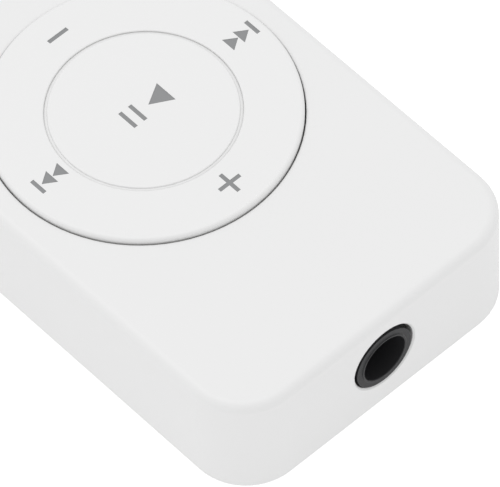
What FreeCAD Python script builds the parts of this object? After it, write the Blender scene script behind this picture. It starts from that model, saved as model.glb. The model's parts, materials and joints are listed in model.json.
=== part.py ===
"""A stick-shaped digital audio player: a moulded case with a round tilting control pad,
a headphone jack at one end and a capped data plug at the other.

The frame stands on the middle of the back face: +X to the right of the pad, +Y to the jack end,
+Z out of the front face. All sizes are in millimetres.
"""
import FreeCAD
import Part
import Sketcher
import os
import re

# Driving sizes. Every other place and size is worked out from these.
SIZES = {
    # Outer shape of the case with its cap on
    "length_over_cap": 84.0,
    "body_width": 25.0,
    "face_height": 8.8,
    "corner_radius": 4.15,
    "face_edge_round": 0.65,
    "back_edge_round": 0.3,
    "cap_length": 14.0,
    "cap_seam": 0.05,
    # Walls of the shells
    "side_wall": 1.2,
    "face_wall": 1.2,
    "cap_end_wall": 1.4,
    "cover_thickness": 1.0,
    "cover_ledge": 0.5,
    "cover_gap": 0.08,
    # Snap tabs that hold the back cover
    "tab_width": 4.0,
    "tab_thickness": 0.8,
    "tab_height": 1.7,
    "tab_wall_gap": 0.15,
    "hook_low": 1.1,
    "hook_height": 0.5,
    "hook_reach": 0.45,
    "hook_gap": 0.15,
    "jack_tab_from_end": 12.0,
    "middle_tab_from_end": 36.0,
    "plug_tab_from_seam": 8.0,
    # Control pad: ring, centre button and the frame that they tilt on
    "wheel_from_jack_end": 22.75,
    "wheel_margin": 1.95,
    "ring_gap": 0.09,
    "ring_stand": 0.4,
    "ring_thickness": 1.45,
    "ring_edge_round": 0.25,
    "ring_band": 4.25,
    "hole_edge_round": 0.1,
    "groove_width": 0.2,
    "groove_depth": 0.14,
    "groove_round": 0.08,
    "button_gap": 0.02,
    "flange_width": 0.6,
    "flange_thickness": 0.25,
    "flange_gap": 0.05,
    "plunger_radius": 0.7,
    "plunger_gap": 0.05,
    "key_inset": 2.85,
    "pivot_drop": 0.6,
    "frame_height": 0.64,
    "frame_outer_gap": 0.35,
    "frame_band": 1.5,
    "outer_trunnion_radius": 0.35,
    "inner_trunnion_radius": 0.3,
    "trunnion_gap": 0.05,
    "trunnion_end_gap": 0.1,
    "bearing_length": 2.4,
    "bearing_foot": 0.7,
    "bearing_mouth": 0.55,
    "ring_lug_width": 1.8,
    "ring_lug_depth": 1.4,
    # Marks let into the pad
    "mark_depth": 0.15,
    "mark_thickness": 0.12,
    "mark_shift_x": -0.3,
    "mark_shift_y": -0.1,
    "sign_shift_x": -0.05,
    "sign_from_key": 0.6,
    "skip_from_key": 0.45,
    "mark_line": 0.3,
    "plus_span": 1.8,
    "minus_span": 1.65,
    "skip_bar_height": 1.28,
    "skip_triangle_height": 1.2,
    "skip_triangle_length": 0.9,
    "skip_triangle_gap": 0.04,
    "skip_bar_gap": 0.17,
    "play_triangle_height": 1.83,
    "play_triangle_length": 1.58,
    "play_triangle_left": -1.78,
    "pause_bar_height": 1.58,
    "pause_bar_place": 1.15,
    "pause_bar_spacing": 0.85,
    # Circuit board and what holds it
    "board_drop": 1.45,
    "board_thickness": 0.6,
    "board_side_gap": 0.4,
    "board_end_gap": 0.3,
    "board_jack_gap": 1.2,
    "board_wing_gap": 2.8,
    "board_slot_gap": 0.4,
    "board_plug_gap": 0.3,
    "boss_radius": 1.6,
    "boss_inset": 1.6,
    "jack_boss_inset": 2.1,
    "jack_boss_from_end": 7.5,
    "plug_boss_from_plug": 2.3,
    "pilot_gap": 0.05,
    "pilot_floor": 0.1,
    "screw_radius": 0.7,
    "screw_hole_gap": 0.05,
    "screw_head_radius": 1.2,
    "screw_head_height": 0.5,
    "screw_grip": 1.25,
    "screw_slot": 0.35,
    "pin_radius": 0.6,
    "pin_hole_gap": 0.05,
    "pin_reach": 0.15,
    "pin_from_wheel": 6.75,
    # Parts on the board
    "dome_radius": 1.5,
    "dome_top_radius": 0.7,
    "dome_height": 0.25,
    "dome_sheet": 0.08,
    "film_thickness": 0.05,
    "film_margin": 0.9,
    "film_window_gap": 0.1,
    "memory_width": 6.2,
    "memory_length": 9.0,
    "memory_height": 1.0,
    "processor_width": 6.0,
    "processor_height": 0.9,
    "chip_centre_gap": 1.5,
    "chips_from_plug": 8.8,
    "crystal_width": 2.5,
    "crystal_length": 2.0,
    "crystal_height": 0.7,
    "coil_width": 2.5,
    "coil_height": 1.1,
    "wing_part_place": 3.8,
    "wing_part_from_jack_rear": 1.3,
    "capacitor_width": 0.8,
    "capacitor_length": 1.5,
    "capacitor_height": 0.8,
    "capacitor_pitch": 1.4,
    "capacitor_from_wing_end": 0.9,
    "capacitor_from_jack": 2.0,
    "resistor_width": 0.5,
    "resistor_length": 1.0,
    "resistor_height": 0.35,
    "resistor_pitch": 1.4,
    "resistor_from_wheel": 1.6,
    "resistor_place": 2.8,
    # Status light
    "lamp_width": 1.6,
    "lamp_length": 0.8,
    "lamp_height": 0.6,
    "light_from_wheel": 12.75,
    "pipe_radius": 0.75,
    "pipe_gap": 0.05,
    "pipe_sink": 0.02,
    "pipe_flange_radius": 1.2,
    "pipe_flange_height": 0.5,
    # Headphone jack
    "jack_bore_radius": 1.77,
    "jack_nose_wall": 0.59,
    "jack_collar": 0.16,
    "jack_collar_rise": 0.06,
    "jack_sag": 0.18,
    "jack_hole_gap": 0.2,
    "jack_hole_chamfer": 0.12,
    "jack_mouth_round": 0.05,
    "jack_rise": 0.2,
    "jack_side_wall": 1.2,
    "jack_body_length": 11.0,
    "jack_wall_gap": 0.1,
    "jack_face_gap": 0.3,
    "jack_floor": 1.0,
    "nose_recess": 0.06,
    "contact_sheet": 0.2,
    "contact_width": 1.6,
    "contact_half_height": 0.5,
    "contact_bore_gap": 0.12,
    "contact_slot_gap": 0.2,
    "contact_side_gap": 0.08,
    "contact_foot": 1.3,
    "tip_contact_place": 1.8,
    "ring_contact_place": 5.0,
    "sleeve_contact_place": 7.4,
    # Data plug
    "plug_width": 12.0,
    "plug_height": 4.5,
    "plug_sheet": 0.3,
    "plug_reach": 12.0,
    "plug_hold": 6.7,
    "plug_opening_gap": 0.15,
    "plug_window_width": 2.3,
    "plug_window_length": 2.2,
    "plug_window_place": 2.25,
    "plug_window_from_tip": 6.2,
    "plug_tab_reach": 1.3,
    "plug_tab_length": 2.0,
    "tongue_side_gap": 0.05,
    "tongue_height": 1.85,
    "tongue_recess": 0.3,
    "pad_width": 1.0,
    "pad_sheet": 0.15,
    "pad_recess": 1.1,
    "inner_pad_place": 1.0,
    "outer_pad_place": 3.5,
    "pad_foot": 1.6,
    # Inside of the cap
    "grip_gap": 0.1,
    "web_thickness": 1.0,
    "web_setback": 0.4,
    "rib_width": 1.0,
    "rib_place": 3.0,
    "rib_length": 9.0,
    "rib_setback": 2.0,
    "weld": 0.1,
    # Power slider and its switch
    "slider_from_jack_end": 23.0,
    "slider_travel": 2.0,
    "slider_grip_width": 2.6,
    "slider_grip_length": 4.0,
    "slider_slot_gap": 0.15,
    "slider_rise": 0.12,
    "slider_gap": 0.04,
    "slider_flange_width": 4.0,
    "slider_flange_length": 9.5,
    "slider_flange_thickness": 0.47,
    "slider_groove": 0.3,
    "slider_groove_depth": 0.15,
    "slider_groove_pitch": 0.8,
    "recess_width": 5.0,
    "recess_length": 10.0,
    "recess_depth": 0.45,
    "recess_round": 2.4,
    "prong_thickness": 0.8,
    "prong_gap": 0.24,
    "lever_width": 1.2,
    "lever_gap": 0.05,
    "lever_depth": 1.35,
    "switch_width": 3.6,
    "switch_length": 8.0,
    "switch_height": 2.8,
    "switch_slot_depth": 1.5,
    "switch_slot_gap": 0.1,
    # Battery
    "battery_side_gap": 2.3,
    "battery_plug_gap": 4.3,
    "battery_slider_gap": 1.25,
    "battery_air": 0.55,
    "battery_edge_round": 0.6,
    "foam_thickness": 0.3,
    "foam_inset": 1.0,
    "guard_board_width": 16.0,
    "guard_board_length": 2.2,
    "guard_board_thickness": 0.8,
    "lead_radius": 0.3,
    "lead_place": 2.8,
    "lead_bend": 1.2,
    "lead_run": 0.3,
}

# Derived places and sizes, as formulas of the sizes above and of each other.
PLACES = {
    "jack_end_y": "length_over_cap / 2",
    "cap_end_y": "-length_over_cap / 2",
    "seam_y": "cap_end_y + cap_length",
    "side_x": "body_width / 2",
    "wall_x": "side_x - side_wall",
    "end_wall_y": "jack_end_y - side_wall",
    "plug_wall_y": "seam_y + side_wall",
    "face_inside": "face_height - face_wall",
    "middle_z": "(cover_thickness + face_inside) / 2",
    "inner_corner_radius": "corner_radius - side_wall",
    "jack_tab_y": "jack_end_y - jack_tab_from_end",
    "middle_tab_y": "jack_end_y - middle_tab_from_end",
    "plug_tab_y": "seam_y + plug_tab_from_seam",
    "tab_x": "wall_x - tab_wall_gap",
    "wheel_y": "jack_end_y - wheel_from_jack_end",
    "wheel_hole_radius": "side_x - wheel_margin",
    "ring_radius": "wheel_hole_radius - ring_gap",
    "ring_top": "face_height + ring_stand",
    "ring_bottom": "ring_top - ring_thickness",
    "button_radius": "wheel_hole_radius - ring_band",
    "ring_bore_radius": "button_radius + groove_width",
    "ledge_radius": "ring_bore_radius - button_gap",
    "ledge_top": "ring_top - groove_depth",
    "flange_top": "ring_bottom - flange_gap",
    "key_radius": "wheel_hole_radius - key_inset",
    "pivot_z": "face_inside - pivot_drop",
    "frame_radius": "wheel_hole_radius - frame_outer_gap",
    "frame_bore_radius": "frame_radius - frame_band",
    "board_top": "face_inside - board_drop",
    "board_bottom": "board_top - board_thickness",
    "plunger_bottom": "board_top + dome_height + plunger_gap",
    "plunger_length": "ring_bottom - plunger_bottom",
    "mark_floor": "ring_top - mark_depth",
    "sign_radius": "key_radius + sign_from_key",
    "skip_radius": "key_radius + skip_from_key",
    "board_x": "wall_x - board_side_gap",
    "boss_x": "board_x - boss_inset",
    "jack_boss_x": "board_x - jack_boss_inset",
    "jack_boss_y": "jack_end_y - jack_boss_from_end",
    "plug_boss_y": "plug_rear_y + plug_boss_from_plug",
    "wheel_edge_y": "wheel_y - wheel_hole_radius",
    "pin_y": "wheel_edge_y - pin_from_wheel",
    "light_y": "wheel_edge_y - light_from_wheel",
    "resistor_y": "wheel_edge_y - resistor_from_wheel",
    "jack_z": "middle_z + jack_rise",
    "jack_hole_z": "jack_z + jack_sag",
    "jack_nose_radius": "jack_bore_radius + jack_nose_wall",
    "jack_mouth_y": "jack_nose_y + jack_collar_rise",
    "jack_half_width": "jack_bore_radius + jack_side_wall",
    "jack_front_y": "end_wall_y - jack_wall_gap",
    "jack_rear_y": "jack_front_y - jack_body_length",
    "jack_nose_y": "jack_end_y - nose_recess",
    "wing_x": "jack_half_width + board_slot_gap",
    "wing_end_y": "end_wall_y - board_wing_gap",
    "wing_part_x": "wing_x + wing_part_place",
    "wing_part_y": "jack_rear_y + wing_part_from_jack_rear",
    "plug_z": "middle_z",
    "plug_x": "plug_width / 2",
    "plug_low": "plug_z - plug_height / 2",
    "plug_high": "plug_z + plug_height / 2",
    "plug_tip_y": "seam_y - plug_reach",
    "plug_rear_y": "seam_y + plug_hold",
    "chips_y": "plug_rear_y + chips_from_plug",
    "tongue_low": "plug_low + plug_sheet",
    "tongue_top": "tongue_low + tongue_height",
    "cap_mouth_y": "seam_y - cap_seam",
    "cap_floor_y": "cap_end_y + cap_end_wall",
    "slider_y": "jack_end_y - slider_from_jack_end",
    "slider_rest_y": "slider_y - slider_travel / 2",
    "slider_flange_low": "cover_thickness + slider_gap",
    "slider_flange_top": "slider_flange_low + slider_flange_thickness",
    "switch_low": "board_bottom - switch_height",
    "prong_height": "switch_low - prong_gap - slider_flange_top",
    "battery_x": "wall_x - battery_side_gap",
    "battery_low_y": "plug_rear_y + battery_plug_gap",
    "battery_high_y": "slider_y - (slider_flange_length + slider_travel) / 2 - battery_slider_gap",
    "battery_low": "cover_thickness + foam_thickness",
    "battery_high": "board_bottom - battery_air",
    "guard_board_z": "(battery_low + battery_high) / 2",
    "lead_start_y": "battery_high_y + guard_board_length",
}

# Sketch planes: the origin plane's role and the sign of its normal along the remaining axis.
PLANES = {"XY": ("XY_Plane", 1), "XZ": ("XZ_Plane", -1), "YZ": ("YZ_Plane", 1)}

OWNERS = {**dict.fromkeys(SIZES, "sizes."), **dict.fromkeys(PLACES, "places.")}

document = FreeCAD.newDocument("audio_player")
sub_parts = []


# ---------------------------------------------------------------- sheets and formulas

def formula(words):
    """Put the sheet's name before each size that the words name."""
    return re.sub(r"[a-z_]+", lambda word: OWNERS.get(word.group(), "") + word.group(), words)


def fill_sheet(name, rows):
    """Write one named sheet, with an alias for each row."""
    sheet = document.addObject("Spreadsheet::Sheet", name)
    for row, (alias, content) in enumerate(rows, start=1):
        sheet.set("A%d" % row, alias)
        sheet.set("B%d" % row, content)
        sheet.setAlias("B%d" % row, alias)
    document.recompute()
    return sheet


sizes = fill_sheet("sizes", [(alias, str(size)) for alias, size in SIZES.items()])
places = fill_sheet("places", [(alias, "=" + formula(words)) for alias, words in PLACES.items()])


def value(words):
    """The number that a formula gives now."""
    return float(places.evalExpression(formula(words)))


def near(number, words):
    """Whether a measured coordinate lies where a formula says."""
    return abs(number - value(words)) < 0.01


def minus(words):
    """The formula of the opposite value."""
    return "-(%s)" % words


def times(sign, words):
    """The formula, or its opposite when the sign is negative."""
    return words if sign > 0 else minus(words)


# ---------------------------------------------------------------- outlines

def rectangle(left, right, low, high):
    """A rectangle between two pairs of lines."""
    return [(left, low), (right, low), (right, high), (left, high)]


def rectangle_about(x, y, width, height):
    """A rectangle round a centre."""
    return rectangle("%s - %s / 2" % (x, width), "%s + %s / 2" % (x, width),
                     "%s - %s / 2" % (y, height), "%s + %s / 2" % (y, height))


def circle(x, y, radius):
    """A circle, as the tag that draw() looks for and its three formulas."""
    return ("circle", x, y, radius)


def rounded_end(half_width, flat_y, round_y, radius):
    """A strip about the middle line with a square end and an end with round corners."""
    return [(minus(half_width), flat_y), (half_width, flat_y),
            (half_width, round_y, radius), (minus(half_width), round_y, radius)]


def corner_ends(shape, index):
    """The points where an outline enters and leaves one corner: one point, or an arc's two ends."""
    corner = shape[index]
    if len(corner) == 2:
        return [corner]
    ends = []
    for other in (shape[index - 1], shape[(index + 1) % len(shape)]):
        steps = []
        for axis in (0, 1):
            gap = value(other[axis]) - value(corner[axis])
            sign = "+" if gap > 0 else "-"
            steps.append(corner[axis] if abs(gap) < 1e-6 else
                         "%s %s (%s)" % (corner[axis], sign, corner[2]))
        ends.append(tuple(steps))
    return ends


def fix_point(sketch, edge, end, point):
    """Tie one end of a sketch edge to a pair of formulas."""
    for kind, words in zip(("DistanceX", "DistanceY"), point):
        index = sketch.addConstraint(Sketcher.Constraint(kind, -1, 1, edge, end, value(words)))
        sketch.setExpression("Constraints[%d]" % index, formula(words))


def fix_radius(sketch, edge, radius):
    """Tie a circle's or an arc's radius to a formula."""
    index = sketch.addConstraint(Sketcher.Constraint("Radius", edge, value(radius)))
    sketch.setExpression("Constraints[%d]" % index, formula(radius))


def draw_circle(sketch, x, y, radius):
    """Draw one tied circle."""
    centre = FreeCAD.Vector(value(x), value(y), 0)
    edge = sketch.addGeometry(Part.Circle(centre, FreeCAD.Vector(0, 0, 1), value(radius)))
    fix_point(sketch, edge, 3, (x, y))
    fix_radius(sketch, edge, radius)


def draw_corner(sketch, corner, ends):
    """Draw the arc that rounds one square corner, and return its edge."""
    start, stop = [FreeCAD.Vector(value(x), value(y), 0) for x, y in ends]
    tip = FreeCAD.Vector(value(corner[0]), value(corner[1]), 0)
    centre = start + stop - tip
    middle = centre + (tip - centre).normalize() * value(corner[2])
    edge = sketch.addGeometry(Part.Arc(start, middle, stop))
    fix_radius(sketch, edge, corner[2])
    return edge


def nearest_end(sketch, edge, point):
    """Which end of a sketch edge lies at a point."""
    first = sketch.getPoint(edge, 1)
    second = sketch.getPoint(edge, 2)
    return 1 if first.distanceToPoint(point) < second.distanceToPoint(point) else 2


def draw_outline(sketch, shape):
    """Draw a closed outline of straight edges, with an arc at each corner that has a radius."""
    ends = [corner_ends(shape, index) for index in range(len(shape))]
    lines = []
    for index, leaving in enumerate(ends):
        arriving = ends[(index + 1) % len(ends)]
        points = [FreeCAD.Vector(value(x), value(y), 0) for x, y in (leaving[-1], arriving[0])]
        line = sketch.addGeometry(Part.LineSegment(*points))
        fix_point(sketch, line, 1, leaving[-1])
        lines.append(line)
    for index, corner in enumerate(shape):
        before = lines[index - 1]
        if len(corner) == 2:
            sketch.addConstraint(Sketcher.Constraint("Coincident", before, 2, lines[index], 1))
            continue
        arc = draw_corner(sketch, corner, ends[index])
        fix_point(sketch, before, 2, ends[index][0])
        for line, end in ((before, 2), (lines[index], 1)):
            touching = nearest_end(sketch, arc, sketch.getPoint(line, end))
            sketch.addConstraint(Sketcher.Constraint("Coincident", arc, touching, line, end))


# ---------------------------------------------------------------- features

def add_body(label, x="0", y="0", z="0"):
    """Start one sub-part as a body with its place in the frame."""
    body = document.addObject("PartDesign::Body", label)
    return finish_place(body, label, x, y, z)


def finish_place(piece, label, x, y, z):
    """Name a sub-part, tie its place to formulas and list it."""
    piece.Label = label
    for axis, words in zip("xyz", (x, y, z)):
        piece.setExpression("Placement.Base." + axis, formula(words))
    sub_parts.append(piece)
    return piece


def add_block(label, left, right, near_y, far_y, low, high):
    """A sub-part that is one box."""
    box = document.addObject("Part::Box", label)
    spans = {"Length": (left, right), "Width": (near_y, far_y), "Height": (low, high)}
    for side, (start, stop) in spans.items():
        box.setExpression(side, formula("(%s) - (%s)" % (stop, start)))
    return finish_place(box, label, left, near_y, low)


def add_sketch(body, plane, level, shapes):
    """Sketch shapes on one of the body's origin planes, moved to a level along its axis."""
    role, sign = PLANES[plane]
    sketch = body.newObject("Sketcher::SketchObject", body.Label + "_sketch")
    support = [item for item in body.Origin.OriginFeatures if item.Role == role][0]
    sketch.AttachmentSupport = [(support, "")]
    sketch.MapMode = "FlatFace"
    sketch.setExpression("AttachmentOffset.Base.z", formula("%d * (%s)" % (sign, level)))
    for shape in shapes:
        if shape[0] == "circle":
            draw_circle(sketch, *shape[1:])
        else:
            draw_outline(sketch, shape)
    return sketch


def pad(body, plane, level, depth, shapes):
    """Raise shapes from a level, along the positive axis."""
    sketch = add_sketch(body, plane, level, shapes)
    feature = body.newObject("PartDesign::Pad", body.Label + "_pad")
    feature.Profile = sketch
    feature.setExpression("Length", formula(depth))
    feature.Reversed = PLANES[plane][1] < 0
    document.recompute()
    return feature


def cut(body, plane, level, depth, shapes):
    """Cut shapes from a level, along the positive axis, and make sure that something is removed."""
    before = body.Shape.Volume
    sketch = add_sketch(body, plane, level, shapes)
    feature = body.newObject("PartDesign::Pocket", body.Label + "_cut")
    feature.Profile = sketch
    feature.setExpression("Length", formula(depth))
    feature.Reversed = PLANES[plane][1] > 0
    document.recompute()
    if body.Shape.Volume > before - 1e-5:
        raise RuntimeError(body.Label + ": a cut removes nothing")
    return feature


def turn(body, profile):
    """Turn a profile, drawn in the XZ plane, once round the body's Z axis."""
    sketch = add_sketch(body, "XZ", "0", [profile])
    feature = body.newObject("PartDesign::Revolution", body.Label + "_turn")
    feature.Profile = sketch
    feature.ReferenceAxis = (sketch, ["V_Axis"])
    feature.Angle = 360
    document.recompute()
    return feature


def trim_edges(body, kind, size_name, words, chosen):
    """Round or bevel the edges that a test on their bounding box chooses."""
    base = body.Tip
    names = ["Edge%d" % (number + 1) for number, edge in enumerate(base.Shape.Edges)
             if chosen(edge.BoundBox)]
    if not names:
        raise RuntimeError(body.Label + ": no edge to trim")
    feature = body.newObject("PartDesign::" + kind, body.Label + "_" + kind.lower())
    feature.Base = (base, names)
    feature.setExpression(size_name, formula(words))
    document.recompute()
    return feature


def round_edges(body, radius, chosen):
    """Round the chosen edges."""
    return trim_edges(body, "Fillet", "Radius", radius, chosen)


def bevel_edges(body, size, chosen):
    """Bevel the chosen edges."""
    return trim_edges(body, "Chamfer", "Size", size, chosen)


def flat_at(low, high, words):
    """Whether an edge lies level at one coordinate."""
    return near(low, words) and near(high, words)


# ---------------------------------------------------------------- case shells

def boss_points():
    """The four places where the board is screwed to the case."""
    points = []
    for sign in (1, -1):
        points.append((times(sign, "jack_boss_x"), "jack_boss_y"))
        points.append((times(sign, "boss_x"), "plug_boss_y"))
    return points


def pin_points():
    """The two places where pins locate the board."""
    return [("boss_x", "pin_y"), (minus("boss_x"), "pin_y")]


def snap_rectangles(inner, outer, width):
    """Six rectangles along the side walls, between two distances from the middle."""
    shapes = []
    for sign in (1, -1):
        for y in ("plug_tab_y", "middle_tab_y", "jack_tab_y"):
            left, right = sorted((times(sign, inner), times(sign, outer)), key=value)
            shapes.append(rectangle(left, right, "%s - (%s) / 2" % (y, width),
                                    "%s + (%s) / 2" % (y, width)))
    return shapes


def plug_section(gap):
    """The data plug's outline, seen along Y, with a gap all round."""
    return rectangle("-(plug_x + %s)" % gap, "plug_x + %s" % gap,
                     "plug_low - %s" % gap, "plug_high + %s" % gap)


def make_front_housing():
    """The main shell: face, side walls and ends, with bosses, pins, bearings and snap recesses."""
    body = add_body("front_housing")
    pad(body, "XY", "0", "face_height", [rounded_end("side_x", "seam_y", "jack_end_y", "corner_radius")])
    for height, radius in (("face_height", "face_edge_round"), ("0", "back_edge_round")):
        round_edges(body, radius, lambda box: flat_at(box.ZMin, box.ZMax, height)
                    and not flat_at(box.YMin, box.YMax, "seam_y"))
    cut(body, "XY", "0", "face_inside",
        [rounded_end("wall_x", "plug_wall_y", "end_wall_y", "inner_corner_radius")])
    cut(body, "XY", "0", "cover_thickness",
        [rounded_end("wall_x + cover_ledge", "plug_wall_y - cover_ledge",
                     "end_wall_y + cover_ledge", "inner_corner_radius + cover_ledge")])
    cut(body, "XY", "cover_thickness + hook_low - hook_gap", "hook_height + 2 * hook_gap",
        snap_rectangles("wall_x - weld", "tab_x + hook_reach + hook_gap", "tab_width + 2 * hook_gap"))
    add_board_holders(body)
    add_ring_bearings(body)
    cut(body, "XY", "face_inside - weld", "face_wall + 2 * weld",
        [circle("0", "wheel_y", "wheel_hole_radius"),
         circle("0", "light_y", "pipe_radius + pipe_gap")])
    round_edges(body, "hole_edge_round", lambda box: flat_at(box.ZMin, box.ZMax, "face_height")
                and near(box.XMax, "wheel_hole_radius") and near(box.XMin, "-wheel_hole_radius"))
    cut(body, "XZ", "end_wall_y - weld", "side_wall + 2 * weld",
        [circle("0", "jack_hole_z", "jack_nose_radius + jack_hole_gap")])
    bevel_edges(body, "jack_hole_chamfer", lambda box: flat_at(box.YMin, box.YMax, "jack_end_y")
                and near(box.XMax, "jack_nose_radius + jack_hole_gap"))
    cut(body, "XZ", "seam_y - weld", "side_wall + 2 * weld", [plug_section("plug_opening_gap")])


def add_board_holders(body):
    """Screw bosses and locating pins that hang from the inside of the face."""
    pad(body, "XY", "board_top", "board_drop + weld",
        [circle(x, y, "boss_radius") for x, y in boss_points()])
    cut(body, "XY", "board_top", "board_drop - pilot_floor",
        [circle(x, y, "screw_radius + pilot_gap") for x, y in boss_points()])
    pad(body, "XY", "board_bottom - pin_reach", "face_inside - board_bottom + pin_reach + weld",
        [circle(x, y, "pin_radius") for x, y in pin_points()])


def add_ring_bearings(body):
    """Two snap bearings, open at the foot, for the tilting frame's outer trunnions."""
    blocks = []
    for sign in (1, -1):
        inner = times(sign, "wheel_hole_radius + trunnion_gap")
        outer = times(sign, "wall_x + weld")
        left, right = sorted((inner, outer), key=value)
        blocks.append(rectangle(left, right, "wheel_y - bearing_length / 2",
                                "wheel_y + bearing_length / 2"))
    pad(body, "XY", "pivot_z - bearing_foot", "face_inside - pivot_z + bearing_foot + weld", blocks)
    cut(body, "YZ", "-wall_x", "2 * wall_x",
        [circle("wheel_y", "pivot_z", "outer_trunnion_radius + trunnion_gap")])
    cut(body, "YZ", "-wall_x", "2 * wall_x",
        [rectangle("wheel_y - bearing_mouth / 2", "wheel_y + bearing_mouth / 2",
                   "pivot_z - bearing_foot - weld", "pivot_z")])


def make_back_cover():
    """The flat back, let into the shell's rim, with snap tabs and the power slider's recess."""
    body = add_body("back_cover")
    reach = "cover_ledge - cover_gap"
    pad(body, "XY", "0", "cover_thickness",
        [rounded_end("wall_x + %s" % reach, "plug_wall_y - (%s)" % reach,
                     "end_wall_y + %s" % reach, "inner_corner_radius + %s" % reach)])
    pad(body, "XY", "cover_thickness", "tab_height",
        snap_rectangles("tab_x - tab_thickness", "tab_x", "tab_width"))
    pad(body, "XY", "cover_thickness + hook_low", "hook_height",
        snap_rectangles("tab_x", "tab_x + hook_reach", "tab_width"))
    cut(body, "XY", "0", "recess_depth",
        [[corner + ("recess_round",) for corner in
          rectangle_about("0", "slider_y", "recess_width", "recess_length")]])
    cut(body, "XY", "0", "cover_thickness",
        [rectangle_about("0", "slider_y", "(slider_grip_width + 2 * slider_slot_gap)",
                         "(slider_grip_length + slider_travel + 2 * slider_slot_gap)")])


def make_usb_cap():
    """The pull-off cap: a hollow shell with two webs and four ribs that grip the plug."""
    body = add_body("usb_cap")
    pad(body, "XY", "0", "face_height",
        [rounded_end("side_x", "cap_mouth_y", "cap_end_y", "corner_radius")])
    for height, radius in (("face_height", "face_edge_round"), ("0", "back_edge_round")):
        round_edges(body, radius, lambda box: flat_at(box.ZMin, box.ZMax, height)
                    and not flat_at(box.YMin, box.YMax, "cap_mouth_y"))
    cut(body, "XY", "side_wall", "face_height - side_wall - face_wall",
        [rounded_end("wall_x", "cap_mouth_y + weld", "cap_floor_y", "inner_corner_radius")])
    webs = []
    for sign in (1, -1):
        sides = (times(sign, "plug_x + grip_gap"), times(sign, "plug_x + grip_gap + web_thickness"))
        left, right = sorted(sides, key=value)
        webs.append(rectangle(left, right, "cap_floor_y - weld", "cap_mouth_y - web_setback"))
    pad(body, "XY", "side_wall - weld", "face_height - side_wall - face_wall + 2 * weld", webs)
    ribs = []
    for sign in (1, -1):
        ribs.append(rectangle_about(times(sign, "rib_place"), "(cap_mouth_y - rib_setback - rib_length / 2)",
                                    "rib_width", "rib_length"))
    pad(body, "XY", "side_wall - weld", "plug_low - grip_gap - side_wall + weld", ribs)
    pad(body, "XY", "plug_high + grip_gap", "face_inside - plug_high - grip_gap + weld", ribs)


# ---------------------------------------------------------------- control pad

def key_points():
    """The four pressing points of the ring, each with the name of what it does."""
    return {"next": ("key_radius", "0"), "previous": (minus("key_radius"), "0"),
            "volume_up": ("0", "key_radius"), "volume_down": ("0", minus("key_radius"))}


def make_pivot_frame():
    """The ring-shaped frame between case and pad: it tilts on X and carries the pad's Y axis."""
    body = add_body("pivot_frame", y="wheel_y")
    pad(body, "XY", "pivot_z - frame_height / 2", "frame_height",
        [circle("0", "0", "frame_radius"), circle("0", "0", "frame_bore_radius")])
    reach = "(wall_x - trunnion_end_gap - frame_radius + weld)"
    pad(body, "YZ", "frame_radius - weld", reach, [circle("0", "pivot_z", "outer_trunnion_radius")])
    pad(body, "YZ", "weld - frame_radius - %s" % reach, reach,
        [circle("0", "pivot_z", "outer_trunnion_radius")])
    depth = "(frame_bore_radius - key_radius + ring_lug_depth / 4 + weld)"
    pad(body, "XZ", "frame_bore_radius + weld - %s" % depth, depth,
        [circle("0", "pivot_z", "inner_trunnion_radius")])
    pad(body, "XZ", "-(frame_bore_radius + weld)", depth, [circle("0", "pivot_z", "inner_trunnion_radius")])


def skip_mark(sign):
    """Two triangles and a bar that point away from the centre, on one side of the ring."""
    middle = times(sign, "skip_radius") + " + mark_shift_x"
    shapes = []
    for start in ("-(skip_triangle_length + skip_triangle_gap / 2)", "skip_triangle_gap / 2"):
        base = "%s + %d * (%s)" % (middle, sign, start)
        point = "%s + %d * skip_triangle_length" % (base, sign)
        shapes.append([(base, "mark_shift_y - skip_triangle_height / 2"),
                       (point, "mark_shift_y"),
                       (base, "mark_shift_y + skip_triangle_height / 2")])
    bar = "(%s + %d * (skip_triangle_length + skip_bar_gap + mark_line / 2))" % (middle, sign)
    shapes.append(rectangle_about(bar, "mark_shift_y", "mark_line", "skip_bar_height"))
    return shapes


def plus_mark():
    """A plus sign near the jack end of the ring."""
    arm = "plus_span / 2"
    half = "mark_line / 2"
    corners = [(arm, half), (half, half), (half, arm)]
    turns = [(1, 1), (-1, 1), (-1, -1), (1, -1)]
    points = []
    for number, (sign_x, sign_y) in enumerate(turns):
        ordered = corners if number % 2 == 0 else corners[::-1]
        for x, y in ordered:
            points.append(("sign_shift_x + %s" % times(sign_x, x),
                           "sign_radius + mark_shift_y + %s" % times(sign_y, y)))
    return [points]


def minus_mark():
    """A minus sign at the far end of the ring."""
    return [rectangle_about("sign_shift_x", "(mark_shift_y - sign_radius)", "minus_span", "mark_line")]


def play_pause_mark():
    """A triangle and two bars in the middle of the centre button."""
    left = "mark_shift_x + play_triangle_left"
    shapes = [[(left, "mark_shift_y - play_triangle_height / 2"),
               (left + " + play_triangle_length", "mark_shift_y"),
               (left, "mark_shift_y + play_triangle_height / 2")]]
    for sign in (-1, 1):
        bar = "(mark_shift_x + pause_bar_place + %d * pause_bar_spacing / 2)" % sign
        shapes.append(rectangle_about(bar, "mark_shift_y", "mark_line", "pause_bar_height"))
    return shapes


def ring_marks():
    """The shapes of each mark on the ring, by the name of its sub-part."""
    return {"next_icon": skip_mark(1), "previous_icon": skip_mark(-1),
            "volume_up_icon": plus_mark(), "volume_down_icon": minus_mark()}


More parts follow.
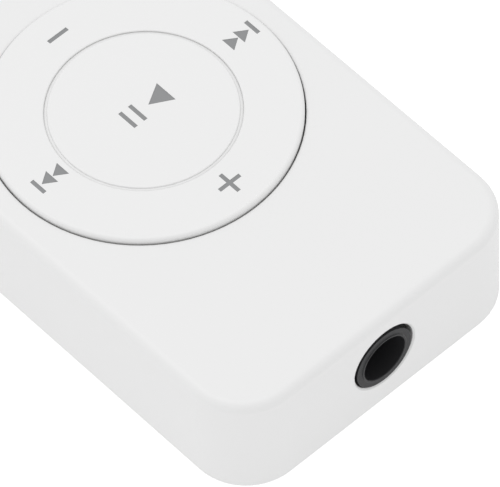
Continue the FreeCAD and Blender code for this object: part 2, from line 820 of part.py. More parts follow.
def make_control_ring():
    """The four-way ring: a flat band with two plungers, two pivot lugs and recesses for its marks."""
    body = add_body("control_ring", y="wheel_y")
    pad(body, "XY", "ring_bottom", "ring_thickness",
        [circle("0", "0", "ring_radius"), circle("0", "0", "ring_bore_radius")])
    for radius, rounding in (("ring_radius", "ring_edge_round"), ("ring_bore_radius", "groove_round")):
        round_edges(body, rounding, lambda box: flat_at(box.ZMin, box.ZMax, "ring_top")
                    and near(box.XMax, radius))
    points = key_points()
    pad(body, "XY", "plunger_bottom", "plunger_length + weld",
        [circle(*points["next"], "plunger_radius"), circle(*points["previous"], "plunger_radius")])
    pad(body, "XY", "plunger_bottom", "plunger_length + weld",
        [rectangle_about(*points["volume_up"], "ring_lug_width", "ring_lug_depth"),
         rectangle_about(*points["volume_down"], "ring_lug_width", "ring_lug_depth")])
    cut(body, "XZ", "-(key_radius + ring_lug_depth)", "2 * (key_radius + ring_lug_depth)",
        [circle("0", "pivot_z", "inner_trunnion_radius + trunnion_gap")])
    for shapes in ring_marks().values():
        cut(body, "XY", "mark_floor", "mark_depth", shapes)


def make_play_button():
    """The centre button: a disc on a lower ledge, a flange under the ring and a plunger over its dome."""
    body = add_body("play_button", y="wheel_y")
    pad(body, "XY", "flange_top - weld", "ledge_top - flange_top + weld", [circle("0", "0", "ledge_radius")])
    pad(body, "XY", "ledge_top - weld", "groove_depth + weld", [circle("0", "0", "button_radius")])
    round_edges(body, "groove_round", lambda box: flat_at(box.ZMin, box.ZMax, "ring_top"))
    pad(body, "XY", "flange_top - flange_thickness", "flange_thickness",
        [circle("0", "0", "button_radius + flange_width")])
    pad(body, "XY", "plunger_bottom", "flange_top - plunger_bottom", [circle("0", "0", "plunger_radius")])
    cut(body, "XY", "mark_floor", "mark_depth", play_pause_mark())


def make_icons():
    """Thin coloured fillings that lie in the recesses of the ring and the button."""
    marks = ring_marks()
    marks["play_pause_icon"] = play_pause_mark()
    for label, shapes in marks.items():
        body = add_body(label, y="wheel_y")
        pad(body, "XY", "mark_floor", "mark_thickness", shapes)


# ---------------------------------------------------------------- circuit board

def make_main_board():
    """The board: a slot for the data plug, a slot for the jack, screw holes and pin holes."""
    body = add_body("main_board")
    slot_x = "(plug_x + board_plug_gap)"
    slot_y = "plug_rear_y + board_plug_gap"
    low_y = "plug_wall_y + board_end_gap"
    high_y = "jack_rear_y - board_jack_gap"
    half = [("wing_x", high_y), ("wing_x", "wing_end_y"), ("board_x", "wing_end_y"),
            ("board_x", low_y), (slot_x, low_y), (slot_x, slot_y)]
    outline = half + [(minus(x), y) for x, y in reversed(half)]
    pad(body, "XY", "board_bottom", "board_thickness", [outline])
    holes = [circle(x, y, "screw_radius + screw_hole_gap") for x, y in boss_points()]
    holes += [circle(x, y, "pin_radius + pin_hole_gap") for x, y in pin_points()]
    cut(body, "XY", "board_bottom", "board_thickness", holes)


def make_board_screws():
    """Four small screws, driven from the back through the board into the bosses."""
    body = add_body("board_screws")
    pad(body, "XY", "board_bottom - screw_head_height", "screw_head_height",
        [circle(x, y, "screw_head_radius") for x, y in boss_points()])
    pad(body, "XY", "board_bottom - weld", "screw_grip + board_thickness + weld",
        [circle(x, y, "screw_radius") for x, y in boss_points()])
    drive = []
    for x, y in boss_points():
        drive.append(rectangle_about(x, y, "screw_slot", "screw_head_radius"))
    cut(body, "XY", "board_bottom - screw_head_height", "screw_head_height / 2", drive)


def make_domes():
    """Five snap domes of thin sheet metal, under the button and the ring's pressing points."""
    profile = [("0", "dome_height - dome_sheet"), ("dome_top_radius", "dome_height - dome_sheet"),
               ("dome_radius - dome_sheet", "0"), ("dome_radius", "0"),
               ("dome_radius", "dome_sheet"), ("dome_top_radius", "dome_height"), ("0", "dome_height")]
    points = {"play": ("0", "0"), **key_points()}
    for name, (x, y) in points.items():
        body = add_body(name + "_dome", x=x, y="wheel_y + (%s)" % y, z="board_top")
        turn(body, profile)


def make_dome_film():
    """The adhesive film round the domes, with a window for each."""
    body = add_body("dome_film", y="wheel_y")
    windows = [("0", "0")] + list(key_points().values())
    shapes = [circle("0", "0", "wheel_hole_radius - film_margin")]
    shapes += [circle(x, y, "dome_radius + film_window_gap") for x, y in windows]
    pad(body, "XY", "board_top", "film_thickness", shapes)


def make_chips():
    """The larger parts soldered to the front of the board."""
    add_block("memory_chip", "-(chip_centre_gap + memory_width)", "-chip_centre_gap",
              "chips_y - memory_length / 2", "chips_y + memory_length / 2",
              "board_top", "board_top + memory_height")
    add_block("audio_processor", "chip_centre_gap", "chip_centre_gap + processor_width",
              "chips_y - processor_width / 2", "chips_y + processor_width / 2",
              "board_top", "board_top + processor_height")
    add_block("crystal", "-wing_part_x - crystal_width / 2", "-wing_part_x + crystal_width / 2",
              "wing_part_y - crystal_length / 2", "wing_part_y + crystal_length / 2",
              "board_top", "board_top + crystal_height")
    add_block("power_coil", "wing_part_x - coil_width / 2", "wing_part_x + coil_width / 2",
              "wing_part_y - coil_width / 2", "wing_part_y + coil_width / 2",
              "board_top", "board_top + coil_height")
    add_block("status_lamp", "-lamp_width / 2", "lamp_width / 2",
              "light_y - lamp_length / 2", "light_y + lamp_length / 2",
              "board_top", "board_top + lamp_height")


def make_small_parts():
    """The rows of capacitors and resistors on the front of the board."""
    capacitors = add_body("capacitors")
    shapes = []
    for sign in (1, -1):
        for number in range(3):
            x = "(%d * (wing_x + capacitor_from_jack + %d * capacitor_pitch))" % (sign, number)
            shapes.append(rectangle_about(x, "(wing_end_y - capacitor_from_wing_end)",
                                          "capacitor_width", "capacitor_length"))
    pad(capacitors, "XY", "board_top", "capacitor_height", shapes)
    resistors = add_body("resistors")
    shapes = []
    for sign in (1, -1):
        for number in range(4):
            x = "(%d * (resistor_place + %d * resistor_pitch))" % (sign, number)
            shapes.append(rectangle_about(x, "resistor_y", "resistor_width", "resistor_length"))
    pad(resistors, "XY", "board_top", "resistor_height", shapes)


def make_light_pipe():
    """The clear pipe that carries the lamp's light through the face."""
    body = add_body("light_pipe", y="light_y")
    pad(body, "XY", "face_inside - pipe_flange_height", "pipe_flange_height",
        [circle("0", "0", "pipe_flange_radius")])
    pad(body, "XY", "face_inside - weld", "face_wall - pipe_sink + weld", [circle("0", "0", "pipe_radius")])


# ---------------------------------------------------------------- headphone jack

def jack_contacts():
    """Each jack contact's side of the bore and its place from the jack's rear."""
    return {"jack_tip_contact": (1, "tip_contact_place"),
            "jack_ring_contact": (-1, "ring_contact_place"),
            "jack_sleeve_contact": (1, "sleeve_contact_place")}


def make_jack_body():
    """The black jack: a block with a round nose, a bore with a raised rounded collar and contact slots."""
    body = add_body("jack_body")
    pad(body, "XZ", "jack_rear_y", "jack_body_length",
        [rectangle("-jack_half_width", "jack_half_width", "cover_thickness + jack_floor",
                   "face_inside - jack_face_gap")])
    pad(body, "XZ", "jack_front_y - weld", "jack_nose_y - jack_front_y + weld",
        [circle("0", "jack_z", "jack_nose_radius")])
    pad(body, "XZ", "jack_nose_y - weld", "jack_collar_rise + weld",
        [circle("0", "jack_z", "jack_bore_radius + jack_collar")])
    cut(body, "XZ", "jack_rear_y", "jack_mouth_y - jack_rear_y", [circle("0", "jack_z", "jack_bore_radius")])
    round_edges(body, "jack_mouth_round", lambda box: flat_at(box.YMin, box.YMax, "jack_mouth_y"))
    for side, place in jack_contacts().values():
        inner = times(side, "jack_bore_radius / 2")
        outer = times(side, "(jack_half_width + weld)")
        left, right = sorted((inner, outer), key=value)
        cut(body, "XY", "jack_z - contact_half_height - contact_slot_gap",
            "2 * (contact_half_height + contact_slot_gap)",
            [rectangle(left, right,
                       "jack_rear_y + %s - contact_width / 2 - contact_slot_gap" % place,
                       "jack_rear_y + %s + contact_width / 2 + contact_slot_gap" % place)])


def make_jack_contacts():
    """Three bent strips that stand beside the bore and reach out to the board's front."""
    bore_x = "jack_bore_radius + contact_bore_gap"
    side_x = "jack_half_width + contact_side_gap"
    low = "jack_z - contact_half_height"
    high = "jack_z + contact_half_height"
    section = [(bore_x, low), (bore_x + " + contact_sheet", low),
               (bore_x + " + contact_sheet", high + " - contact_sheet"),
               (side_x + " + contact_sheet", high + " - contact_sheet"),
               (side_x + " + contact_sheet", "board_top"),
               (side_x + " + contact_foot", "board_top"),
               (side_x + " + contact_foot", "board_top + contact_sheet"),
               (side_x, "board_top + contact_sheet"), (side_x, high), (bore_x, high)]
    for label, (side, place) in jack_contacts().items():
        body = add_body(label)
        pad(body, "XZ", "jack_rear_y + %s - contact_width / 2" % place, "contact_width",
            [[(times(side, x), z) for x, z in section]])


# ---------------------------------------------------------------- data plug

def make_usb_shell():
    """The plug's folded steel shell, with four latch windows and two tabs on the board."""
    body = add_body("usb_shell")
    pad(body, "XZ", "plug_tip_y", "plug_rear_y - plug_tip_y",
        [plug_section("0"), plug_section("-plug_sheet")])
    windows = []
    for sign in (1, -1):
        windows.append(rectangle_about(times(sign, "plug_window_place"),
                                       "(plug_tip_y + plug_window_from_tip)",
                                       "plug_window_width", "plug_window_length"))
    cut(body, "XY", "plug_low - weld", "plug_height + 2 * weld", windows)
    tabs = []
    for sign in (1, -1):
        sides = (times(sign, "plug_x - plug_sheet"), times(sign, "plug_x + plug_tab_reach"))
        left, right = sorted(sides, key=value)
        tabs.append(rectangle(left, right, "plug_rear_y - plug_tab_length", "plug_rear_y"))
    pad(body, "XY", "board_top", "plug_sheet", tabs)


def make_usb_tongue():
    """The insulating tongue that fills one half of the plug's shell."""
    side = "plug_x - plug_sheet - tongue_side_gap"
    add_block("usb_tongue", minus(side), side, "plug_tip_y + tongue_recess", "plug_rear_y",
              "tongue_low", "tongue_top")


def make_usb_contacts():
    """Four flat contacts on the tongue, bent up at the rear to feet under the board."""
    body = add_body("usb_contacts")
    rear = "plug_rear_y + 2 * pad_sheet"
    section = [("plug_tip_y + pad_recess", "tongue_top"), (rear, "tongue_top"),
               (rear, "board_bottom - pad_sheet"),
               (rear + " + pad_foot", "board_bottom - pad_sheet"), (rear + " + pad_foot", "board_bottom"),
               (rear + " - pad_sheet", "board_bottom"), (rear + " - pad_sheet", "tongue_top + pad_sheet"),
               ("plug_tip_y + pad_recess", "tongue_top + pad_sheet")]
    for sign in (1, -1):
        for place in ("inner_pad_place", "outer_pad_place"):
            pad(body, "YZ", "%s - pad_width / 2" % times(sign, place), "pad_width", [section])


# ---------------------------------------------------------------- power switch

def make_power_slider():
    """The slider's grip in the back, its flange inside the cover and the prongs round the lever."""
    body = add_body("power_slider", y="slider_rest_y")
    pad(body, "XY", "slider_rise", "slider_flange_low - slider_rise + weld",
        [rectangle_about("0", "0", "slider_grip_width", "slider_grip_length")])
    grooves = []
    for number in (-1, 0, 1):
        grooves.append(rectangle_about("0", "(%d * slider_groove_pitch)" % number,
                                       "(slider_grip_width + weld)", "slider_groove"))
    cut(body, "XY", "slider_rise", "slider_groove_depth", grooves)
    pad(body, "XY", "slider_flange_low", "slider_flange_thickness",
        [rectangle_about("0", "0", "slider_flange_width", "slider_flange_length")])
    prongs = []
    for sign in (1, -1):
        y = "(%d * (lever_width / 2 + lever_gap + prong_thickness / 2))" % sign
        prongs.append(rectangle_about("0", y, "lever_width", "prong_thickness"))
    pad(body, "XY", "slider_flange_top - weld", "prong_height + weld", prongs)


def make_switch_lever():
    """The switch's lever, which the slider's prongs carry along."""
    add_block("switch_lever", "-lever_width / 2", "lever_width / 2",
              "slider_rest_y - lever_width / 2", "slider_rest_y + lever_width / 2",
              "slider_flange_top + lever_gap", "switch_low + lever_depth")


def make_power_switch():
    """The switch's case, soldered under the board, with a slot for the lever."""
    body = add_body("power_switch", y="slider_y")
    pad(body, "XY", "switch_low", "switch_height",
        [rectangle_about("0", "0", "switch_width", "switch_length")])
    cut(body, "XY", "switch_low", "switch_slot_depth",
        [rectangle_about("0", "0", "(lever_width + 2 * switch_slot_gap)",
                         "(lever_width + slider_travel + 2 * switch_slot_gap)")])


# ---------------------------------------------------------------- battery

def make_battery():
    """The flat cell, its foam pad and the small guard board at its jack end."""
    body = add_body("battery")
    pad(body, "XY", "battery_low", "battery_high - battery_low",
        [rectangle("-battery_x", "battery_x", "battery_low_y", "battery_high_y")])
    round_edges(body, "battery_edge_round", lambda box: flat_at(box.XMin, box.XMax, "battery_x")
                or flat_at(box.XMin, box.XMax, "-battery_x"))
    add_block("battery_foam", "foam_inset - battery_x", "battery_x - foam_inset",
              "battery_low_y + foam_inset", "battery_high_y - foam_inset", "cover_thickness", "battery_low")
    add_block("battery_guard_board", "-guard_board_width / 2", "guard_board_width / 2",
              "battery_high_y", "lead_start_y",
              "guard_board_z - guard_board_thickness / 2", "guard_board_z + guard_board_thickness / 2")


def make_battery_lead(label, x):
    """One insulated lead: out of the guard board and up to the underside of the main board."""
    body = add_body(label, x=x)
    profile = add_sketch(body, "XZ", "lead_start_y", [circle("0", "guard_board_z", "lead_radius")])
    route = add_sketch(body, "YZ", "0", [])
    bend_y = "lead_start_y + lead_run"
    top_z = "guard_board_z + lead_bend"
    far_y = "%s + lead_bend" % bend_y
    points = [("lead_start_y", "guard_board_z"), (bend_y, "guard_board_z"), (far_y, top_z),
              (far_y, "board_bottom")]
    start, enter, leave, stop = [FreeCAD.Vector(value(y), value(z), 0) for y, z in points]
    run = route.addGeometry(Part.LineSegment(start, enter))
    centre = FreeCAD.Vector(enter.x, leave.y, 0)
    middle = centre + FreeCAD.Vector(1, -1, 0).normalize() * value("lead_bend")
    bend = route.addGeometry(Part.Arc(enter, middle, leave))
    rise = route.addGeometry(Part.LineSegment(leave, stop))
    fix_point(route, run, 1, points[0])
    fix_point(route, run, 2, points[1])
    fix_point(route, rise, 1, points[2])
    fix_point(route, rise, 2, points[3])
    fix_radius(route, bend, "lead_bend")
    for line, end in ((run, 2), (rise, 1)):
        touching = nearest_end(route, bend, route.getPoint(line, end))
        route.addConstraint(Sketcher.Constraint("Coincident", bend, touching, line, end))
    document.recompute()
    feature = body.newObject("PartDesign::AdditivePipe", label + "_pipe")
    feature.Profile = profile
    feature.Spine = (route, ["Edge1", "Edge2", "Edge3"])
    document.recompute()


# ---------------------------------------------------------------- whole player

def make_player():
    """Build every sub-part."""
    make_front_housing()
    make_back_cover()
    make_usb_cap()
    make_pivot_frame()
    make_control_ring()
    make_play_button()
    make_icons()
    make_main_board()
    make_board_screws()
    make_domes()
    make_dome_film()
    make_chips()
    make_small_parts()
    make_light_pipe()
    make_jack_body()
    make_jack_contacts()
    make_usb_shell()
    make_usb_tongue()
    make_usb_contacts()
    make_power_slider()
    make_switch_lever()
    make_power_switch()
    make_battery()
    make_battery_lead("battery_lead_positive", "lead_place")
    make_battery_lead("battery_lead_negative", "-lead_place")


def check_document():
    """Stop if any object failed, or any sub-part has no valid shape."""
    for item in document.Objects:
        if "Invalid" in item.State or "Error" in item.State:
            raise RuntimeError(item.Label + ": " + str(item.State))
    for piece in sub_parts:
        if piece.Shape.isNull() or not piece.Shape.isValid() or not piece.Shape.Solids:
            raise RuntimeError(piece.Label + ": no valid shape")


def write_parts():
    """Write each sub-part to its own file."""
    os.makedirs("parts", exist_ok=True)
    for piece in sub_parts:
        piece.Shape.exportStep(os.path.join("parts", piece.Label + ".step"))


make_player()
document.recompute()
check_document()
write_parts()
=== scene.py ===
"""Looks of a stick-shaped digital audio player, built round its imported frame.

Every size is in metres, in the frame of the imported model.
"""
import json
import math
from functools import partial

import bmesh
import bpy
from bpy.props import FloatProperty, FloatVectorProperty, IntProperty, PointerProperty
from mathutils import Matrix, Vector


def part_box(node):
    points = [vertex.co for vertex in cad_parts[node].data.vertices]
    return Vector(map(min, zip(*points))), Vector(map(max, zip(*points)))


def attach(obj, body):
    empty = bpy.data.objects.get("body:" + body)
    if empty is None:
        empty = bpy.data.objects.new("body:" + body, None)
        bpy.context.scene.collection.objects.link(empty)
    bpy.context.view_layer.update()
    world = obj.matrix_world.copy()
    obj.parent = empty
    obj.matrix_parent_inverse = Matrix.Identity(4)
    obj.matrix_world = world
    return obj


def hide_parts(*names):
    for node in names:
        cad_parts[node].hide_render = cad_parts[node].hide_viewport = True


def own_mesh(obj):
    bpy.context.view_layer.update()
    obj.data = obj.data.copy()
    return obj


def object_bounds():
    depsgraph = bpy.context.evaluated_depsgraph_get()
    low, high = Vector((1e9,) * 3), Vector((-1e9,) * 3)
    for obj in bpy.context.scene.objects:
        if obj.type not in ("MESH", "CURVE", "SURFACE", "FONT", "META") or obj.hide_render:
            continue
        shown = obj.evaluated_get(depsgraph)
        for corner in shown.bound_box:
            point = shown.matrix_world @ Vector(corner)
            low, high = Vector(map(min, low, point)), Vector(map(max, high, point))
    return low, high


bl_info = {
    "name": "Digital audio player looks",
    "version": (1, 0, 0),
    "blender": (4, 5, 0),
    "location": "View3D > Sidebar > Player",
    "description": "Finishes and fine detail for a stick-shaped digital audio player",
    "category": "Object",
}

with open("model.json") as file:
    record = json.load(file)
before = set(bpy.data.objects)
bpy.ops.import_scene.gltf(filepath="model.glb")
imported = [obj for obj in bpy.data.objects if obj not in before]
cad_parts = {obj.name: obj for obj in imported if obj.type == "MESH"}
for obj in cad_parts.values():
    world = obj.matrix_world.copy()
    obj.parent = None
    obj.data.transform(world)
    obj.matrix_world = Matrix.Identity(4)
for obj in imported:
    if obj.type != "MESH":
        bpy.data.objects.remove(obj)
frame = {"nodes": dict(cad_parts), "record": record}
NODES = frame["nodes"]
SLOTS = {part["node"]: part["material_slot"] for part in frame["record"]["subparts"]}
COLOURS = {row["slot"]: row["base_color"] for row in frame["record"]["materials"]}
FRAME_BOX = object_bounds()
MM = 0.001
CASING = "casing"


# ---------------------------------------------------------------- settings
def colour_setting(name, description, default):
    """A colour that a user can change."""
    return FloatVectorProperty(name=name, description=description, subtype="COLOR",
                               default=default, min=0, max=1)


def length_setting(name, description, default):
    """A length that a user can change."""
    return FloatProperty(name=name, description=description, default=default, min=0,
                         unit="LENGTH", precision=5)


def angle_setting(name, description, degrees):
    """An angle that a user can change."""
    return FloatProperty(name=name, description=description, default=math.radians(degrees),
                         subtype="ANGLE", unit="ROTATION")


class PlayerColours(bpy.types.PropertyGroup):
    """Colours of the parts that show from outside."""
    case: colour_setting("Case", "Glossy white shells and cap", (0.895, 0.895, 0.895))
    pad: colour_setting("Control pad", "Four-way ring and centre button", (0.905, 0.905, 0.905))
    marks: colour_setting("Marks", "Signs let into the control pad", (0.30, 0.304, 0.31))
    jack: colour_setting("Headphone jack", "Moulded body of the jack", (0.030, 0.030, 0.032))
    slider: colour_setting("Power slider", "Slider on the back", (0.46, 0.47, 0.48))
    mask: colour_setting("Board", "Solder mask on the circuit board", (0.018, 0.110, 0.050))


class PlayerDetails(bpy.types.PropertyGroup):
    """Sizes of the fine detail that the frame leaves plain."""
    grain: length_setting("Plastic grain", "Size of the fine grain on moulded plastic", 0.12 * MM)
    thread_pitch: length_setting("Thread pitch", "Pitch of the board screws", 0.30 * MM)
    thread_depth: length_setting("Thread depth", "Depth of the screws' thread", 0.09 * MM)
    leg_pitch: length_setting("Leg pitch", "Spacing of the chips' legs", 0.50 * MM)
    leg_width: length_setting("Leg width", "Width of one chip leg", 0.22 * MM)
    leg_reach: length_setting("Leg reach", "How far a leg stands out of its chip", 0.55 * MM)
    leg_thickness: length_setting("Leg thickness", "Thickness of one chip leg", 0.10 * MM)
    cap_share: FloatProperty(name="End metal", default=0.22, min=0.05, max=0.45, subtype="FACTOR",
                             description="Share of a small part's length in each metal end")
    coil_turns: IntProperty(name="Coil turns", description="Turns of wire on the power coil",
                            default=7, min=1, max=40)
    pouch_flap: length_setting("Pouch flap", "Length of the battery pouch's sealed end", 1.6 * MM)


class StudioSettings(bpy.types.PropertyGroup):
    """Camera and light."""
    azimuth: angle_setting("Azimuth", "Camera's direction round the player", 139.5)
    elevation: angle_setting("Elevation", "Camera's height over the table", 53.86)
    roll: angle_setting("Roll", "Camera's turn about its own line of sight", -2.67)
    distance: length_setting("Distance", "From the camera to its target", 0.4935)
    focal_length: FloatProperty(name="Focal length", description="Focal length in millimetres",
                                default=554.7, min=10)
    side_shift: length_setting("Target across", "Target's place across the player", 2.1 * MM)
    end_shift: length_setting("Target from end", "Target's distance from the jack end", 10.3 * MM)
    sky: FloatProperty(name="Sky", description="Strength of the light from all round",
                       default=0.74, min=0)
    key: FloatProperty(name="Key light", description="Power of the large soft lamp", default=2.4,
                       min=0, unit="POWER")
    floor: FloatProperty(name="Floor", description="Share of light that the floor gives back",
                         default=0.47, min=0, max=1, subtype="FACTOR")
    floor_glow: FloatProperty(name="Floor glow", description="Light that the floor adds of its own",
                              default=0.54, min=0)
    floor_white: FloatProperty(name="Floor white", default=0.30, min=0,
                               description="What whitens the floor without lighting the player")


# ---------------------------------------------------------------- node helpers
def feed(node, values):
    """Link or set a node's inputs."""
    for key, what in values.items():
        if isinstance(what, bpy.types.NodeSocket):
            node.id_data.links.new(what, node.inputs[key])
        else:
            node.inputs[key].default_value = what


def add(tree, kind, values=None, **settings):
    """Add a node, set its own settings, and link or set its inputs."""
    node = tree.nodes.new(kind)
    for name, setting in settings.items():
        setattr(node, name, setting)
    feed(node, values or {})
    return node


def made(tree, kind, values=None, **settings):
    """Add a node; gives its first output."""
    return add(tree, kind, values, **settings).outputs[0]


def tree_of(*values):
    """The node tree of the first socket among some values."""
    return next(value.id_data for value in values if isinstance(value, bpy.types.NodeSocket))


def scalar(operation, *values, clamp=False):
    """A sum on numbers and sockets; gives its output."""
    return made(tree_of(*values), "ShaderNodeMath", dict(enumerate(values)), operation=operation,
                use_clamp=clamp)


plus = partial(scalar, "ADD")
minus = partial(scalar, "SUBTRACT")
times = partial(scalar, "MULTIPLY")
over = partial(scalar, "DIVIDE")


def spread(fac, low, high):
    """Map a 0-1 field to a range; gives its output."""
    return made(fac.id_data, "ShaderNodeMapRange",
                {"Value": fac, "To Min": low, "To Max": high})


def tint(fac, first, second, blend="MIX"):
    """Mix two colours; gives the output."""
    return add(tree_of(fac, first, second), "ShaderNodeMix", {0: fac, 6: first, 7: second},
               data_type="RGBA", blend_type=blend).outputs[2]


def dim(colour, level):
    """Darken a colour by a field; gives the output."""
    shade = made(level.id_data, "ShaderNodeCombineColor", {0: level, 1: level, 2: level})
    return tint(1.0, colour, shade, "MULTIPLY")


def grey(level):
    """An opaque grey."""
    return (level, level, level, 1)


def opaque(colour):
    """A colour with full alpha."""
    return (*colour[:3], 1)


SOCKET_TYPES = {float: "NodeSocketFloat", int: "NodeSocketInt", tuple: "NodeSocketColor",
                Vector: "NodeSocketVector"}


def new_group(name, kind, inputs, outputs):
    """Start a group. An input is named with its default, or with its type where it has none."""
    tree = bpy.data.node_groups.new(name, kind)
    for label, default in inputs.items():
        socket = default if isinstance(default, str) else SOCKET_TYPES[type(default)]
        item = tree.interface.new_socket(label, in_out="INPUT", socket_type=socket)
        if socket != default:
            item.default_value = default
    for label, socket in outputs.items():
        tree.interface.new_socket(label, in_out="OUTPUT", socket_type=socket)
    return tree, tree.nodes.new("NodeGroupInput").outputs, tree.nodes.new("NodeGroupOutput")


def own_place(tree):
    """The place on the piece itself."""
    return add(tree, "ShaderNodeTexCoord").outputs["Object"]


def noise(place, scale, detail=2.0, rough=0.5):
    """A noise field; gives its factor."""
    return made(place.id_data, "ShaderNodeTexNoise",
                {"Vector": place, "Scale": scale, "Detail": detail, "Roughness": rough})


SURFACE = {"Color": "NodeSocketColor", "Roughness": "NodeSocketFloat", "Height": "NodeSocketFloat"}
MASK = {"Mask": "NodeSocketFloat"}


def moulded_skin_group():
    """Moulded plastic: faint mottle in colour, a fine even grain and slightly uneven gloss."""
    tree, given, result = new_group(
        "moulded_skin", "ShaderNodeTree",
        {"Color": grey(0.8), "Mottle": 0.02, "Grain Scale": 8000.0, "Roughness": 0.4,
         "Gloss Spread": 0.05}, SURFACE)
    place = own_place(tree)
    flow = noise(place, 90.0, 3.0)
    level = spread(flow, minus(1.0, given["Mottle"]), 1.0)
    uneven = times(minus(flow, 0.5), given["Gloss Spread"])
    feed(result, {"Color": dim(given["Color"], level), "Roughness": plus(given["Roughness"], uneven),
                  "Height": noise(place, given["Grain Scale"], 1.5, 0.6)})
    return tree


def worked_metal_group():
    """Sheet or turned metal: fine lines drawn one way, with dull blotches."""
    tree, given, result = new_group(
        "worked_metal", "ShaderNodeTree",
        {"Color": grey(0.7), "Line Scale": 9000.0, "Stretch": Vector((1.0, 0.04, 1.0)),
         "Roughness": 0.3, "Dullness": 0.12}, SURFACE)
    place = own_place(tree)
    drawn = made(tree, "ShaderNodeVectorMath", {0: place, 1: given["Stretch"]},
                 operation="MULTIPLY")
    lines = noise(drawn, given["Line Scale"], 2.0, 0.7)
    dull = times(noise(place, 420.0, 3.0), given["Dullness"])
    feed(result, {"Color": dim(given["Color"], spread(lines, 0.86, 1.06)),
                  "Roughness": plus(given["Roughness"], dull), "Height": lines})
    return tree


def edge_mask_group():
    """One along outer edges and corners, nought on flat faces."""
    tree, given, result = new_group(
        "edge_mask", "ShaderNodeTree", {"Width": 0.15 * MM, "Reach": 3.0}, MASK)
    soft = made(tree, "ShaderNodeBevel", {"Radius": given["Width"]}, samples=4)
    true = add(tree, "ShaderNodeNewGeometry").outputs["Normal"]
    along = add(tree, "ShaderNodeVectorMath", {0: soft, 1: true},
                operation="DOT_PRODUCT").outputs["Value"]
    feed(result, {"Mask": scalar("MULTIPLY", minus(1.0, along), given["Reach"], clamp=True)})
    return tree


def painted_shade_group():
    """One in corners, seams and gaps, where less light reaches: a painted shade, in patches."""
    tree, given, result = new_group(
        "seam_painted_shade", "ShaderNodeTree", {"Distance": 0.4 * MM, "Amount": 0.3}, MASK)
    # Ambient occlusion drives this painted shade.
    shelter = add(tree, "ShaderNodeAmbientOcclusion", {"Distance": given["Distance"]},
                  samples=6).outputs["AO"]
    patchy = spread(noise(own_place(tree), 1500.0, 3.0), 0.6, 1.0)
    feed(result, {"Mask": times(times(minus(1.0, shelter), patchy), given["Amount"])})
    return tree


GROUP_MAKERS = {"skin": moulded_skin_group, "metal": worked_metal_group, "edges": edge_mask_group,
                "grime": painted_shade_group}
GROUPS = {}


def use_group(tree, name, values):
    """Place a shared group, made on its first use; gives its outputs."""
    if name not in GROUPS:
        GROUPS[name] = GROUP_MAKERS[name]()
    return add(tree, "ShaderNodeGroup", values, node_tree=GROUPS[name]).outputs


def new_material(name):
    """A material with a Principled shader; gives the material, its tree and the shader."""
    material = bpy.data.materials.new(name + "_finish")
    material.use_nodes = True
    tree = material.node_tree
    return material, tree, tree.nodes["Principled BSDF"]


def bump(height, strength, distance):
    """A normal raised by a height field."""
    return made(height.id_data, "ShaderNodeBump",
                {"Height": height, "Strength": strength, "Distance": distance})


# ---------------------------------------------------------------- finishes
GRAIN_RELIEF = 0.01 * MM
# Dark tone of the painted shade in seams, gaps and grooves.
SEAM_SHADE = (0.16, 0.155, 0.145, 1)
TRACK_GREEN = (0.05, 0.20, 0.09, 1)
PAD_TIN = (0.62, 0.58, 0.46, 1)
COPPER = (0.60, 0.24, 0.09)


def plastic(name, colour, roughness, mottle, relief, edge=0.0, grime=0.0, seam=0.2 * MM, shine=0.5):
    """Moulded plastic. The edge amount lightens corners as a painted highlight; the seam shade
    amount darkens sheltered seams and gaps as a painted shade.
    """
    material, tree, shader = new_material(name)
    details = bpy.context.scene.player_details
    skin = use_group(tree, "skin", {"Color": opaque(colour), "Mottle": mottle,
                                    "Grain Scale": 1.0 / details.grain, "Roughness": roughness,
                                    "Gloss Spread": 0.1 * roughness})
    base = skin["Color"]
    # Painted highlight: corners and rims lighten towards near white, as if they caught the light.
    if edge:
        bright_edge = times(use_group(tree, "edges", {"Width": 0.10 * MM})["Mask"], edge)
        base = tint(bright_edge, base, grey(0.95))
    # Painted shade: seams, gaps and grooves darken towards a dull dark tone, where less light
    # reaches.
    if grime:
        painted_dark = use_group(tree, "grime", {"Amount": grime, "Distance": seam})["Mask"]
        base = tint(painted_dark, base, SEAM_SHADE)
    feed(shader, {"Base Color": base, "Roughness": skin["Roughness"], "Specular IOR Level": shine,
                  "Normal": bump(skin["Height"], relief, GRAIN_RELIEF)})
    return material


def metal(name, colour, roughness, stretch):
    """Plated or bare metal with drawn lines and brighter edges."""
    material, tree, shader = new_material(name)
    worked = use_group(tree, "metal", {"Color": opaque(colour), "Stretch": stretch,
                                       "Roughness": roughness})
    bright_edge = times(use_group(tree, "edges", {"Width": 0.06 * MM})["Mask"], 0.35)
    feed(shader, {"Base Color": tint(bright_edge, worked["Color"], grey(0.92)), "Metallic": 1.0,
                  "Roughness": worked["Roughness"],
                  "Normal": bump(worked["Height"], 0.3, 0.8 * GRAIN_RELIEF)})
    return material


def solder_mask(name, colour):
    """Circuit board: lacquer over copper tracks and small bright pads."""
    material, tree, shader = new_material(name)
    place = own_place(tree)
    tracks = add(tree, "ShaderNodeTexBrick",
                 {"Vector": place, "Color1": grey(0), "Color2": grey(0), "Mortar": grey(1),
                  "Scale": 330.0, "Mortar Size": 0.045, "Mortar Smooth": 0.4, "Brick Width": 1.3,
                  "Row Height": 0.22}, offset=0.37, squash=1.6, squash_frequency=3).outputs["Color"]
    cells = add(tree, "ShaderNodeTexVoronoi", {"Vector": place, "Scale": 420.0, "Randomness": 0.65})
    pad = scalar("LESS_THAN", cells.outputs["Distance"], 0.16)
    lacquer = tint(tracks, opaque(colour), TRACK_GREEN)
    skin = use_group(tree, "skin", {"Color": lacquer, "Mottle": 0.15, "Roughness": 0.32})
    feed(shader, {"Base Color": tint(pad, skin["Color"], PAD_TIN), "Metallic": pad,
                  "Roughness": skin["Roughness"],
                  "Normal": bump(plus(tracks, pad), 0.6, 3 * GRAIN_RELIEF)})
    return material


